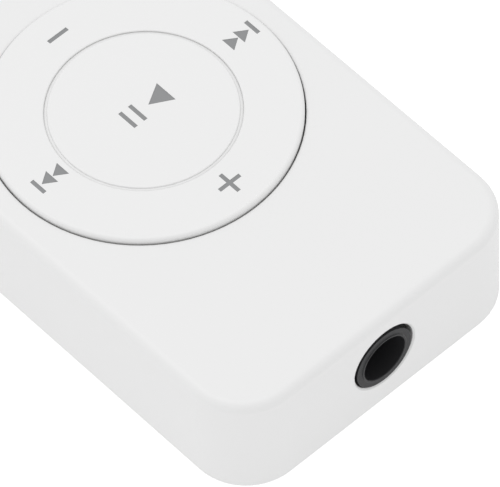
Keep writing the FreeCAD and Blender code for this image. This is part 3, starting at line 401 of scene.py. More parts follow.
def foam(name, colour):
    """Open foam: small pits."""
    material, tree, shader = new_material(name)
    depth = add(tree, "ShaderNodeTexVoronoi",
                {"Vector": own_place(tree), "Scale": 3200.0}).outputs["Distance"]
    # Painted shade: the colour darkens in the pits.
    feed(shader, {"Base Color": dim(opaque(colour), spread(depth, 0.35, 1.25)), "Roughness": 0.95,
                  "Normal": bump(depth, 0.8, 10 * GRAIN_RELIEF)})
    return material


def foil(name, colour):
    """Laminated foil of the cell's pouch: soft wrinkles with a fine stipple."""
    material, tree, shader = new_material(name)
    place = own_place(tree)
    wrinkle = noise(place, 260.0, 4.0, 0.55)
    stipple = noise(place, 7000.0, 1.0)
    feed(shader, {"Base Color": dim(opaque(colour), spread(stipple, 0.88, 1.05)), "Metallic": 0.85,
                  "Roughness": spread(wrinkle, 0.28, 0.50),
                  "Normal": bump(wrinkle, 0.7, 25 * GRAIN_RELIEF)})
    return material


def clear(name, colour, roughness, transmission):
    """Clear or frosted plastic and film, with faint flow marks."""
    material, tree, shader = new_material(name)
    skin = use_group(tree, "skin", {"Color": opaque(colour), "Mottle": 0.04, "Roughness": roughness,
                                    "Grain Scale": 4000.0})
    feed(shader, {"Base Color": skin["Color"], "Roughness": skin["Roughness"], "IOR": 1.49,
                  "Transmission Weight": transmission,
                  "Normal": bump(skin["Height"], 0.3, GRAIN_RELIEF)})
    return material


FINISHES = {}


def make_finish(maker, slot, *settings, colour=None, **more):
    """Make a slot's material, in the record's colour if no other is given."""
    FINISHES[slot] = maker(slot, COLOURS[slot] if colour is None else colour, *settings, **more)


def make_finishes():
    """Make the material of each slot in the record, and the copper of the coil's wire."""
    own = bpy.context.scene.player_colours
    # Edge gives a painted highlight on corners; the seam shade amount gives a painted shade in seams
    # and gaps, as far as seam reaches.
    make_finish(plastic, "case_white", 0.42, 0.012, 0.10, colour=own.case, edge=0.25, grime=0.5,
                seam=0.35 * MM)
    make_finish(plastic, "pad_white", 0.46, 0.012, 0.14, colour=own.pad, edge=0.25, grime=0.8,
                seam=0.14 * MM)
    make_finish(plastic, "mark_grey", 0.55, 0.08, 0.35, colour=own.marks, grime=0.5)
    make_finish(plastic, "slider_grey", 0.45, 0.05, 0.5, colour=own.slider, edge=0.2, grime=0.3)
    make_finish(plastic, "frame_plastic", 0.45, 0.05, 0.4)
    make_finish(plastic, "jack_black", 0.42, 0.18, 0.5, colour=own.jack, edge=0.06, shine=0.22)
    make_finish(plastic, "switch_black", 0.5, 0.15, 0.6, edge=0.05)
    make_finish(plastic, "tongue_white", 0.5, 0.04, 0.4, grime=0.3)
    make_finish(plastic, "chip_black", 0.62, 0.25, 0.9, edge=0.05)
    make_finish(plastic, "capacitor_tan", 0.6, 0.15, 0.6)
    make_finish(plastic, "coil_ferrite", 0.7, 0.3, 1.0)
    for slot in ("lead_red", "lead_black"):
        make_finish(plastic, slot, 0.4, 0.08, 0.3)
    make_finish(metal, "screw_steel", 0.28, (1.0, 1.0, 0.1))
    make_finish(metal, "can_metal", 0.25, (1.0, 0.05, 1.0))
    make_finish(metal, "contact_metal", 0.26, (0.05, 1.0, 1.0))
    make_finish(metal, "contact_gold", 0.22, (1.0, 0.05, 1.0))
    make_finish(metal, "plug_steel", 0.24, (1.0, 0.03, 1.0))
    make_finish(metal, "dome_steel", 0.22, (0.05, 1.0, 1.0))
    make_finish(metal, "coil_copper", 0.25, (1.0, 1.0, 1.0), colour=COPPER)
    make_finish(solder_mask, "board_green", colour=own.mask)
    make_finish(foam, "foam_grey")
    make_finish(foil, "cell_wrap")
    make_finish(clear, "lamp_clear", 0.2, 0.4)
    make_finish(clear, "light_clear", 0.35, 0.85)
    make_finish(clear, "film_clear", 0.3, 0.6)


def finish(slot):
    """The material of a slot, made with all the others on first use."""
    if not FINISHES:
        make_finishes()
    return FINISHES[slot]


def dress(*names):
    """Give CAD nodes the material of their slot."""
    for name in names:
        NODES[name].material_slots[0].material = finish(SLOTS[name])


# ---------------------------------------------------------------- shapes
MERGE = 1e-7


def place_piece(piece, body, slot, *replaced):
    """Put a finished piece on a body, in place of CAD nodes. The slot is not used."""
    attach(piece, body)
    if replaced:
        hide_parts(*replaced)


def new_object(name, data):
    """A new object in the scene."""
    thing = bpy.data.objects.new(name, data)
    bpy.context.scene.collection.objects.link(thing)
    return thing


def merged_shape(mesh):
    """A mesh as a bmesh with its doubles merged."""
    shape = bmesh.new()
    shape.from_mesh(mesh)
    bmesh.ops.remove_doubles(shape, verts=shape.verts, dist=MERGE)
    return shape


def smooth(mesh, sharp_angle):
    """Shade a mesh smooth, apart from edges sharper than an angle in degrees."""
    mesh.shade_smooth()
    mesh.set_sharp_from_angle(angle=math.radians(sharp_angle))


def mesh_piece(name, shape, slot, sharp_angle=35):
    """Turn a bmesh into an object with its slot's material."""
    bmesh.ops.remove_doubles(shape, verts=shape.verts, dist=MERGE)
    bmesh.ops.recalc_face_normals(shape, faces=shape.faces)
    mesh = bpy.data.meshes.new(name)
    shape.to_mesh(mesh)
    shape.free()
    mesh.materials.append(finish(slot))
    smooth(mesh, sharp_angle)
    return new_object(name, mesh)


def corners(box):
    """The lowest and highest corner of a box, as vectors."""
    return Vector(box[0]), Vector(box[1])


def middle_of(box):
    """The middle of a box."""
    return (Vector(box[0]) + Vector(box[1])) / 2


def foot_of(box, rise=0.0):
    """The middle of a box's underside, or a point above it."""
    middle = middle_of(box)
    return middle.x, middle.y, box[0][2] + rise


def add_box(shape, low, high, bevel=0.0, segments=2, draft=0.0):
    """Add a box between two corners, with bevelled edges and sides that lean in towards its top."""
    middle = middle_of((low, high))
    size = Vector(high) - Vector(low)
    cube = bmesh.ops.create_cube(shape, size=1, matrix=Matrix.Translation(middle)
                                 @ Matrix.Diagonal((*size, 1)))
    for corner in cube["verts"]:
        if corner.co.z > middle.z:
            for axis in (0, 1):
                side = 1 if corner.co[axis] > middle[axis] else -1
                corner.co[axis] -= side * draft
    if bevel:
        edges = list({edge for corner in cube["verts"] for edge in corner.link_edges})
        bmesh.ops.bevel(shape, geom=edges, offset=bevel, offset_type="OFFSET", segments=segments,
                        profile=0.5, affect="EDGES")


def add_disc(shape, centre, radius, low, high, sides=32, top_radius=None):
    """Add an upright cylinder or frustum."""
    bmesh.ops.create_cone(shape, cap_ends=True, segments=sides, radius1=radius,
                          radius2=radius if top_radius is None else top_radius, depth=high - low,
                          matrix=Matrix.Translation((centre[0], centre[1], (low + high) / 2)))


def loose_boxes(name):
    """The boxes of a CAD node's separate solids, each as its lowest and highest corner."""
    shape = merged_shape(NODES[name].data)
    boxes = []
    left = set(shape.verts)
    while left:
        start = left.pop()
        group, fringe = [start], [start]
        while fringe:
            here = fringe.pop()
            for edge in here.link_edges:
                other = edge.other_vert(here)
                if other in left:
                    left.remove(other)
                    group.append(other)
                    fringe.append(other)
        boxes.append([Vector([pick(corner.co[axis] for corner in group) for axis in range(3)])
                      for pick in (min, max)])
    shape.free()
    boxes.sort(key=lambda box: (round(box[0].y, 6), round(box[0].x, 6)))
    return boxes


def grow(name, tree, points, values, slot):
    """Run a Geometry Nodes tree on points and turn its result into a plain mesh object."""
    mesh = bpy.data.meshes.new(name)
    mesh.from_pydata([tuple(point) for point in points], [], [])
    piece = new_object(name, mesh)
    modifier = piece.modifiers.new(name, "NODES")
    modifier.node_group = tree
    sockets = {item.name: item.identifier for item in tree.interface.items_tree
               if item.item_type == "SOCKET" and item.in_out == "INPUT"}
    for label, value in values.items():
        modifier[sockets[label]] = value
    modifier[sockets["Material"]] = finish(slot)
    apply_modifiers(piece)
    if not piece.data.polygons:
        raise RuntimeError(name + ": its tree made nothing")
    piece.data.name = name
    smooth(piece.data, 35)
    return piece


def apply_modifiers(piece):
    """Turn a piece and its modifiers into one plain mesh."""
    bpy.context.view_layer.update()
    graph = bpy.context.evaluated_depsgraph_get()
    result = bpy.data.meshes.new_from_object(piece.evaluated_get(graph))
    piece.modifiers.clear()
    piece.data = result


# ---------------------------------------------------------------- tree helpers
def start_tree(name, sizes):
    """Start a Geometry Nodes tree that takes points, named sizes and a material."""
    inputs = {"Geometry": "NodeSocketGeometry", **sizes, "Material": "NodeSocketMaterial"}
    return new_group(name, "GeometryNodeTree", inputs, {"Geometry": "NodeSocketGeometry"})


def end_tree(given, result, geometry, repeated=True):
    """Repeat a geometry at each point, unless it is made once only, and set its material."""
    tree = result.id_data
    if repeated:
        geometry = made(tree, "GeometryNodeInstanceOnPoints",
                        {"Points": given["Geometry"], "Instance": geometry})
    real = made(tree, "GeometryNodeRealizeInstances", {0: geometry})
    feed(result, {0: made(tree, "GeometryNodeSetMaterial",
                          {"Geometry": real, "Material": given["Material"]})})
    return tree


def vector(x, y, z):
    """Combine three values; gives the vector."""
    return made(tree_of(x, y, z), "ShaderNodeCombineXYZ", {0: x, 1: y, 2: z})


def position(tree):
    """The position's parts; gives x, y and z."""
    here = made(tree, "GeometryNodeInputPosition")
    return add(tree, "ShaderNodeSeparateXYZ", {0: here}).outputs


def move(geometry, x, y, z):
    """Shift a geometry."""
    return made(geometry.id_data, "GeometryNodeTransform",
                {"Geometry": geometry, "Translation": vector(x, y, z)})


def reshape(geometry, place):
    """Set the place of each point of a geometry."""
    return made(geometry.id_data, "GeometryNodeSetPosition",
                {"Geometry": geometry, "Position": place})


def narrow(geometry, here, factor):
    """Draw each point of a geometry towards its upright axis."""
    return reshape(geometry, vector(times(here[0], factor), times(here[1], factor), here[2]))


def join(*parts):
    """Join geometries."""
    node = add(parts[0].id_data, "GeometryNodeJoinGeometry")
    for part in parts:
        node.id_data.links.new(part, node.inputs[0])
    return node.outputs[0]


def sweep(line, section):
    """Sweep a section along a line, with closed ends."""
    return made(line.id_data, "GeometryNodeCurveToMesh",
                {"Curve": line, "Profile Curve": section, "Fill Caps": True})


def only_if(test, geometry):
    """A geometry that is there only if a test holds."""
    return made(test.id_data, "GeometryNodeSwitch", {"Switch": test, "True": geometry},
                input_type="GEOMETRY")


# ---------------------------------------------------------------- trees
def screw_tree():
    """A pan-head screw, head down, with a crossed recess and a helical thread, at each point."""
    tree, given, result = start_tree("board_screw", {
        "Head Radius": 1.2 * MM, "Head Height": 0.5 * MM, "Shank Radius": 0.7 * MM,
        "Shank Length": 1.85 * MM, "Thread Pitch": 0.3 * MM, "Thread Depth": 0.09 * MM,
        "Recess Width": 0.32 * MM})
    height, recess = given["Head Height"], given["Recess Width"]
    head = made(tree, "GeometryNodeMeshCylinder",
                {"Vertices": 48, "Side Segments": 10, "Radius": given["Head Radius"],
                 "Depth": height})
    here = position(tree)
    down = minus(0.5, over(here[2], height))
    head = narrow(head, here, minus(1.0, times(scalar("POWER", down, 5.0), 0.30)))
    length = times(given["Head Radius"], 1.3)
    for size in ((length, recess), (recess, length)):
        bar = made(tree, "GeometryNodeMeshCube", {"Size": vector(*size, height)})
        bar = move(bar, 0.0, 0.0, times(height, -0.5))
        head = made(tree, "GeometryNodeMeshBoolean", {"Mesh 1": head, "Mesh 2": bar},
                    operation="DIFFERENCE")
    head = move(head, 0.0, 0.0, times(height, 0.5))
    shank = made(tree, "GeometryNodeMeshCylinder",
                 {"Vertices": 28, "Side Segments": 48, "Radius": given["Shank Radius"],
                  "Depth": given["Shank Length"]})
    here = position(tree)
    turn = over(scalar("ARCTAN2", here[1], here[0]), 2 * math.pi)
    step = scalar("FRACT", plus(turn, over(here[2], given["Thread Pitch"])))
    ridge = times(scalar("ABSOLUTE", minus(step, 0.5)), 2.0)
    share = over(given["Thread Depth"], given["Shank Radius"])
    shank = narrow(shank, here, minus(1.0, times(ridge, share)))
    rise = plus(height, times(given["Shank Length"], 0.5))
    return end_tree(given, result, join(head, move(shank, 0.0, 0.0, rise)))


def leg_tree():
    """Gull-wing legs in rows along both long sides of a chip, and on all four if asked."""
    tree, given, result = start_tree("chip_legs", {
        "Across": 5.0 * MM, "Pitch": 0.5 * MM, "Legs": 16, "Reach": 0.55 * MM, "Rise": 0.4 * MM,
        "Leg Width": 0.22 * MM, "Leg Thickness": 0.1 * MM, "All Round": 0})
    half = times(given["Across"], 0.5)
    bend = plus(half, times(given["Reach"], 0.55))
    foot = times(given["Leg Thickness"], 0.5)
    line = made(tree, "GeometryNodeCurvePrimitiveBezierSegment",
                {"Resolution": 10, "Start": vector(half, 0.0, given["Rise"]),
                 "Start Handle": vector(bend, 0.0, given["Rise"]),
                 "End Handle": vector(bend, 0.0, foot),
                 "End": vector(plus(half, given["Reach"]), 0.0, foot)}, mode="POSITION")
    section = made(tree, "GeometryNodeCurvePrimitiveQuadrilateral",
                   {"Width": given["Leg Width"], "Height": given["Leg Thickness"]},
                   mode="RECTANGLE")
    span = times(given["Pitch"], minus(given["Legs"], 1.0))
    row = made(tree, "GeometryNodeMeshLine",
               {"Count": given["Legs"], "Start Location": vector(0.0, times(span, -0.5), 0.0),
                "Offset": vector(0.0, given["Pitch"], 0.0)}, mode="OFFSET")
    legs = made(tree, "GeometryNodeInstanceOnPoints",
                {"Points": row, "Instance": sweep(line, section)})
    sides = []
    for number in range(4):
        turned = made(tree, "GeometryNodeTransform",
                      {"Geometry": legs, "Rotation": (0, 0, number * math.pi / 2)})
        sides.append(only_if(given["All Round"], turned) if number % 2 else turned)
    return end_tree(given, result, join(*sides))


def block_tree():
    """A small rounded block at each point, with a second one opposite for a pair of ends."""
    tree, given, result = start_tree("small_block", {
        "Width": 0.8 * MM, "Length": 1.0 * MM, "Height": 0.8 * MM, "Offset": 0.0, "Crease": 0.75})
    cube = made(tree, "GeometryNodeMeshCube",
                {"Size": vector(given["Width"], given["Length"], given["Height"])})
    rounded = made(tree, "GeometryNodeSubdivisionSurface",
                   {"Mesh": cube, "Level": 2, "Edge Crease": given["Crease"]})
    rise = times(given["Height"], 0.5)
    near, far = [move(rounded, 0.0, times(given["Offset"], sign), rise) for sign in (-1.0, 1.0)]
    paired = made(tree, "FunctionNodeCompare", {0: given["Offset"], 1: 0.0},
                  data_type="FLOAT", operation="GREATER_THAN")
    return end_tree(given, result, join(near, only_if(paired, far)))


def winding_tree():
    """A coil of wire wound up a drum."""
    tree, given, result = start_tree("coil_winding", {
        "Radius": 0.9 * MM, "Height": 0.5 * MM, "Wire Radius": 0.045 * MM, "Turns": 7})
    path = made(tree, "GeometryNodeCurveSpiral",
                {"Resolution": 28, "Rotations": given["Turns"], "Start Radius": given["Radius"],
                 "End Radius": given["Radius"], "Height": given["Height"]})
    section = made(tree, "GeometryNodeCurvePrimitiveCircle",
                   {"Resolution": 8, "Radius": given["Wire Radius"]}, mode="RADIUS")
    return end_tree(given, result, sweep(path, section))


def turned_tree():
    """A closed profile, given as points of radius and height, turned once round an upright axis."""
    tree, given, result = start_tree("turned_profile", {
        "Steps": 256, "Profile Points": 24, "Axis X": 0.0, "Axis Y": 0.0})
    along = plus(given["Profile Points"], 1.0)
    grid = made(tree, "GeometryNodeMeshGrid",
                {"Size X": 1.0, "Size Y": 1.0, "Vertices X": plus(given["Steps"], 1.0),
                 "Vertices Y": along})
    number = made(tree, "GeometryNodeInputIndex")
    column = scalar("FLOOR", over(plus(number, 0.5), along))
    row = minus(number, times(column, along))
    wrapped = scalar("MODULO", scalar("ROUND", row), given["Profile Points"])
    here = made(tree, "GeometryNodeInputPosition")
    corner = made(tree, "GeometryNodeSampleIndex",
                  {"Geometry": given["Geometry"], "Value": here, "Index": wrapped},
                  data_type="FLOAT_VECTOR", domain="POINT")
    radius, _, height = add(tree, "ShaderNodeSeparateXYZ", {0: corner}).outputs
    angle = times(over(column, given["Steps"]), 2 * math.pi)
    place = vector(plus(times(radius, scalar("COSINE", angle)), given["Axis X"]),
                   plus(times(radius, scalar("SINE", angle)), given["Axis Y"]), height)
    closed = made(tree, "GeometryNodeMergeByDistance",
                  {"Geometry": reshape(grid, place), "Distance": MERGE})
    return end_tree(given, result, closed, repeated=False)


# ---------------------------------------------------------------- pieces
RING = {"outer": 10.46 * MM, "bore": 6.502 * MM, "thickness": 1.45 * MM, "edge": 0.25 * MM,
        "groove": 0.10 * MM, "mark_depth": 0.15 * MM, "rim": 0.04 * MM, "chamfer": 0.05 * MM}
BUTTON = {"disc": 6.29 * MM, "ledge": 6.498 * MM, "groove_depth": 0.14 * MM, "flange": 6.9 * MM,
          "flange_thickness": 0.25 * MM, "flange_gap": 0.05 * MM, "plunger": 0.7 * MM}
KEYS = {"radius": 7.7 * MM, "plunger": 0.7 * MM, "lug_width": 1.8 * MM, "lug_depth": 1.4 * MM,
        "lug_round": 0.04 * MM, "pin_hole": 0.35 * MM}
DOME = {"sheet": 0.08 * MM, "steps": 7, "pressed": 0.06}
DOME_JOINTS = {"play_dome": "play_press", "next_dome": "track_tilt", "previous_dome": "track_tilt",
               "volume_up_dome": "volume_tilt", "volume_down_dome": "volume_tilt"}
SCREW = {"head": 0.5 * MM, "shank": 0.7 * MM, "recess": 0.32 * MM}
CHIP = {"lead_drop": 0.1 * MM, "standoff": 0.06 * MM, "draft": 0.10 * MM, "under_draft": 0.06 * MM,
        "corner_to_dimple": 0.75 * MM, "dimple": 0.32 * MM, "dimple_depth": 0.05 * MM,
        "bevel": 0.08 * MM, "bare_end": 0.5 * MM}
BLOCK = {"width": 0.95, "height": 0.96, "lap": 0.5, "body_crease": 0.82, "end_crease": 0.78}
COIL = {"plate": 0.25 * MM, "plate_round": 0.12 * MM, "core": 0.62, "flange": 0.96,
        "flange_top": 0.90, "flange_edge": 0.05 * MM, "spacing": 2.4}
CRYSTAL = {"rim": 0.14 * MM, "rim_round": 0.05 * MM, "can_round": 0.16 * MM}
POUCH = {"side": 0.25 * MM, "round": 0.75 * MM, "seal_side": 0.5 * MM, "seal_lap": 0.8 * MM,
         "seal_half": 0.22 * MM, "seal_round": 0.12 * MM, "fold": 0.32 * MM, "fold_start": 0.5 * MM,
         "fold_low": 0.55 * MM, "fold_high": 0.7 * MM, "fold_stop": 0.4 * MM,
         "fold_round": 0.10 * MM}


def arc(centre, radius, start, stop, steps):
    """Points of radius and height along an arc, from one angle to another in degrees."""
    points = []
    for step in range(steps + 1):
        angle = math.radians(start + (stop - start) * step / steps)
        points.append((centre[0] + radius * math.cos(angle), 0.0,
                       centre[1] + radius * math.sin(angle)))
    return points


def tidy_faces(piece):
    """Merge a piece's doubles and point its faces outwards."""
    shape = merged_shape(piece.data)
    bmesh.ops.dissolve_degenerate(shape, edges=shape.edges, dist=0.1 * MERGE)
    loose = [edge for edge in shape.edges if not edge.link_faces]
    bmesh.ops.delete(shape, geom=loose, context="EDGES")
    bmesh.ops.recalc_face_normals(shape, faces=shape.faces)
    shape.to_mesh(piece.data)
    shape.free()
    kept_normals = piece.data.attributes.get("custom_normal")
    if kept_normals:
        piece.data.attributes.remove(kept_normals)


def turned_piece(name, profile, axis, slot, steps=256):
    """A piece of revolution whose faces point outwards."""
    tree = bpy.data.node_groups.get("turned_profile") or turned_tree()
    piece = grow(name, tree, profile, {"Steps": steps, "Profile Points": len(profile),
                                       "Axis X": axis.x, "Axis Y": axis.y}, slot)
    tidy_faces(piece)
    return piece


def cut(piece, tools):
    """Cut other objects from a piece, then remove them."""
    for tool in tools:
        step = piece.modifiers.new("step", "BOOLEAN")
        step.operation = "DIFFERENCE"
        step.solver = "EXACT"
        step.object = tool
    apply_modifiers(piece)
    for tool in tools:
        bpy.data.objects.remove(tool)
    tidy_faces(piece)
    smooth(piece.data, 30)


def mark_cutters(names, top, floor):
    """Tools with the outlines of the marks, from the floor of their recesses to above the pad."""
    tools = []
    for name in names:
        shape = merged_shape(NODES[name].data)
        level = middle_of(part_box(name)).z
        for corner in shape.verts:
            corner.co.z = top + 0.5 * MM if corner.co.z > level else floor
        tools.append(mesh_piece(name + "_tool", shape, "mark_grey"))
    return tools


def make_chip_body(name, node, inset):
    """A moulded chip: drafted sides above and below its leads, and a round dimple by leg one."""
    low, high = corners(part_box(node))
    split = (low.z + high.z) / 2 - CHIP["lead_drop"]
    under = CHIP["under_draft"]
    left, front, right, back = low.x + inset.x, low.y + inset.y, high.x - inset.x, high.y - inset.y
    shape = bmesh.new()
    add_box(shape, (left, front, split), (right, back, high.z), draft=CHIP["draft"])
    add_box(shape, (left + under, front + under, low.z + CHIP["standoff"]),
            (right - under, back - under, split), draft=-under)
    piece = mesh_piece(name, shape, SLOTS[node], 20)
    spot = (left + CHIP["corner_to_dimple"], back - CHIP["corner_to_dimple"])
    cutter_shape = bmesh.new()
    add_disc(cutter_shape, spot, CHIP["dimple"], high.z - CHIP["dimple_depth"], high.z + 0.1 * MM)
    cutter = mesh_piece(name + "_cutter", cutter_shape, SLOTS[node])
    dimple = piece.modifiers.new("dimple", "BOOLEAN")
    dimple.operation = "DIFFERENCE"
    dimple.object = cutter
    soften = piece.modifiers.new("edges", "BEVEL")
    soften.width = CHIP["bevel"]
    soften.segments = 2
    soften.limit_method = "ANGLE"
    apply_modifiers(piece)
    bpy.data.objects.remove(cutter)
    place_piece(piece, CASING, SLOTS[node], node)


def pad_axis():
    """The upright axis of the control pad."""
    middle = middle_of(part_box("play_button"))
    return Vector((middle.x, middle.y, 0.0))


def make_ring():
    """The four-way ring: a turned band with soft edges, two plungers, two lugs and let-in marks."""
    low, high = corners(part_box("control_ring"))
    axis = pad_axis()
    top, bottom = high.z, high.z - RING["thickness"]
    outer, bore, edge, soft, rim, chamfer = (
        RING[size] for size in ("outer", "bore", "edge", "groove", "rim", "chamfer"))
    profile = [(bore, 0, bottom), (outer - chamfer, 0, bottom), (outer, 0, bottom + chamfer)]
    profile += arc((outer - edge, top - edge), edge, 0, 90, 10)
    profile += [(outer - edge - rim, 0, top), (bore + soft + rim, 0, top)]
    profile += arc((bore + soft, top - soft), soft, 90, 180, 8)
    ring = turned_piece("control_ring_turned", profile, axis, "pad_white")
    marks = [name for name in NODES if name.endswith("_icon") and name != "play_pause_icon"]
    cut(ring, mark_cutters(marks, top, top - RING["mark_depth"]))
    shape = bmesh.new()
    for side in (-1, 1):
        spot = (axis.x + side * KEYS["radius"], axis.y)
        add_disc(shape, spot, KEYS["plunger"], low.z, bottom + chamfer)
    half = Vector((KEYS["lug_width"], KEYS["lug_depth"], 0)) / 2
    for side in (-1, 1):
        foot = axis + Vector((0, side * KEYS["radius"], low.z))
        top_of_lug = foot + Vector((0, 0, bottom + chamfer - low.z))
        add_box(shape, foot - half, top_of_lug + half, KEYS["lug_round"])
    feet = mesh_piece("control_ring_feet", shape, "pad_white")
    pivot = middle_of(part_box("pivot_frame")).z
    cutter = bmesh.new()
    bmesh.ops.create_cone(cutter, cap_ends=True, segments=32, radius1=KEYS["pin_hole"],
                          radius2=KEYS["pin_hole"], depth=4 * KEYS["radius"],
                          matrix=Matrix.Translation((axis.x, axis.y, pivot))
                          @ Matrix.Rotation(math.pi / 2, 4, "X"))
    cut(feet, [mesh_piece("pin_hole_tool", cutter, "pad_white")])
    place_piece(ring, "control_ring", "pad_white", "control_ring")
    place_piece(feet, "control_ring", "pad_white")


def make_play_button():
    """The centre button: a turned disc with a soft edge, a lower ledge, a flange and a plunger."""
    low, high = corners(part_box("play_button"))
    top, soft = high.z, RING["groove"]
    disc, ledge, flange, plunger = (BUTTON[size] for size in ("disc", "ledge", "flange", "plunger"))
    flange_top = top - RING["thickness"] - BUTTON["flange_gap"]
    flange_low = flange_top - BUTTON["flange_thickness"]
    profile = [(0, 0, low.z), (plunger, 0, low.z), (plunger, 0, flange_low),
               (flange, 0, flange_low), (flange, 0, flange_top), (ledge, 0, flange_top),
               (ledge, 0, top - BUTTON["groove_depth"])]
    profile += arc((disc - soft, top - soft), soft, 0, 90, 8)
    profile += [(disc - soft - RING["rim"], 0, top), (0, 0, top)]
    button = turned_piece("play_button_turned", profile, pad_axis(), "pad_white")
    cut(button, mark_cutters(["play_pause_icon"], top, top - RING["mark_depth"]))
    place_piece(button, "play_button", "pad_white", "play_button")


def make_dome(name):
    """A snap dome of thin sheet, made at rest; in use its plunger presses it flat on the board."""
    low, high = corners(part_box(name))
    axis = middle_of((low, high))
    radius, height = (high.x - low.x) / 2, high.z - low.z
    sides = []
    for reach, rise in ((radius - DOME["sheet"], height - DOME["sheet"]), (radius, height)):
        shares = [step / DOME["steps"] for step in range(DOME["steps"] + 1)]
        sides.append([(reach * share, 0, low.z + rise * (1 - share * share)) for share in shares])
    profile = sides[0] + sides[1][::-1]
    dome = turned_piece(name + "_pressed_sheet", profile, axis, SLOTS[name], 72)
    place_piece(dome, CASING, SLOTS[name], name)
    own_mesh(dome)


# ---------------------------------------------------------------- operators
class PLAYER_OT_case(bpy.types.Operator):
    """Finish the white shells and the cap"""
    bl_idname = "player.case"
    bl_label = "Case shells"

    def execute(self, context):
        dress("front_housing", "back_cover", "usb_cap")
        return {"FINISHED"}


class PLAYER_OT_control_pad(bpy.types.Operator):
    """Finish the four-way ring, the centre button, their marks and the tilting frame"""
    bl_idname = "player.control_pad"
    bl_label = "Control pad"

    def execute(self, context):
        make_ring()
        make_play_button()
        dress("pivot_frame", *[name for name in NODES if name.endswith("_icon")])
        return {"FINISHED"}


class PLAYER_OT_headphone_jack(bpy.types.Operator):
    """Finish the headphone jack and its contact springs"""
    bl_idname = "player.headphone_jack"
    bl_label = "Headphone jack"

    def execute(self, context):
        dress("jack_body")
        dress(*[name for name in NODES if name.startswith("jack_") and name.endswith("_contact")])
        return {"FINISHED"}


class PLAYER_OT_data_plug(bpy.types.Operator):
    """Finish the data plug: steel shell, insulating tongue and gold contacts"""
    bl_idname = "player.data_plug"
    bl_label = "Data plug"

    def execute(self, context):
        dress("usb_shell", "usb_tongue", "usb_contacts")
        return {"FINISHED"}


class PLAYER_OT_power_switch(bpy.types.Operator):
    """Finish the slider on the back, and the switch that it moves"""
    bl_idname = "player.power_switch"
    bl_label = "Power switch"

    def execute(self, context):
        dress("power_slider", "switch_lever", "power_switch")
        return {"FINISHED"}


class PLAYER_OT_boards(bpy.types.Operator):
    """Finish the circuit boards, the status lamp and its light pipe"""
    bl_idname = "player.boards"
    bl_label = "Boards and lamp"

    def execute(self, context):
        dress("main_board", "battery_guard_board", "status_lamp", "light_pipe")
        return {"FINISHED"}


class PLAYER_OT_board_screws(bpy.types.Operator):
    """Make the threaded screws that hold the board"""
    bl_idname = "player.board_screws"
    bl_label = "Board screws"

    def execute(self, context):
        details = context.scene.player_details
        boxes = loose_boxes("board_screws")
        size = boxes[0][1] - boxes[0][0]
        piece = grow("board_screws_threaded", screw_tree(), [foot_of(box) for box in boxes],
                     {"Head Radius": size.x / 2, "Head Height": SCREW["head"],
                      "Shank Radius": SCREW["shank"], "Shank Length": size.z - SCREW["head"],
                      "Thread Pitch": details.thread_pitch, "Thread Depth": details.thread_depth,
                      "Recess Width": SCREW["recess"]}, "screw_steel")
        place_piece(piece, CASING, "screw_steel", "board_screws")
        return {"FINISHED"}


class PLAYER_OT_chips(bpy.types.Operator):
    """Make the memory chip and the processor, with their rows of legs"""
    bl_idname = "player.chips"
    bl_label = "Chips"

    def execute(self, context):
        details = context.scene.player_details
        tree = leg_tree()
        reach = details.leg_reach
        for node, all_round in (("memory_chip", False), ("audio_processor", True)):
            low, high = corners(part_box(node))
            inset = Vector((reach, reach if all_round else 0.0, 0.0))
            make_chip_body(node + "_body", node, inset)
            room = high.y - low.y - 2 * inset.y - CHIP["bare_end"]
            piece = grow(node + "_legs", tree, [foot_of((low, high))],
                         {"Across": high.x - low.x - 2 * reach, "Pitch": details.leg_pitch,
                          "Legs": int(room / details.leg_pitch), "Reach": reach,
                          "Rise": (high.z - low.z) / 2 - CHIP["lead_drop"],
                          "Leg Width": details.leg_width, "Leg Thickness": details.leg_thickness,
                          "All Round": int(all_round)}, "contact_metal")
            place_piece(piece, CASING, "contact_metal")
        return {"FINISHED"}


class PLAYER_OT_small_parts(bpy.types.Operator):
    """Make the rows of capacitors and resistors with their metal ends"""
    bl_idname = "player.small_parts"
    bl_label = "Capacitors and resistors"

    def execute(self, context):
        tree = block_tree()
        share = context.scene.player_details.cap_share
        for node in ("capacitors", "resistors"):
            boxes = loose_boxes(node)
            size = boxes[0][1] - boxes[0][0]
            points = [foot_of(box) for box in boxes]
            end = share * size.y
            body = grow(node + "_bodies", tree, points,
                        {"Width": size.x * BLOCK["width"], "Length": size.y - BLOCK["lap"] * end,
                         "Height": size.z * BLOCK["height"], "Offset": 0.0,
                         "Crease": BLOCK["body_crease"]}, SLOTS[node])
            place_piece(body, CASING, SLOTS[node], node)
            ends = grow(node + "_ends", tree, points,
                        {"Width": size.x, "Length": end, "Height": size.z,
                         "Offset": (size.y - end) / 2, "Crease": BLOCK["end_crease"]}, "can_metal")
            place_piece(ends, CASING, "can_metal")
        return {"FINISHED"}


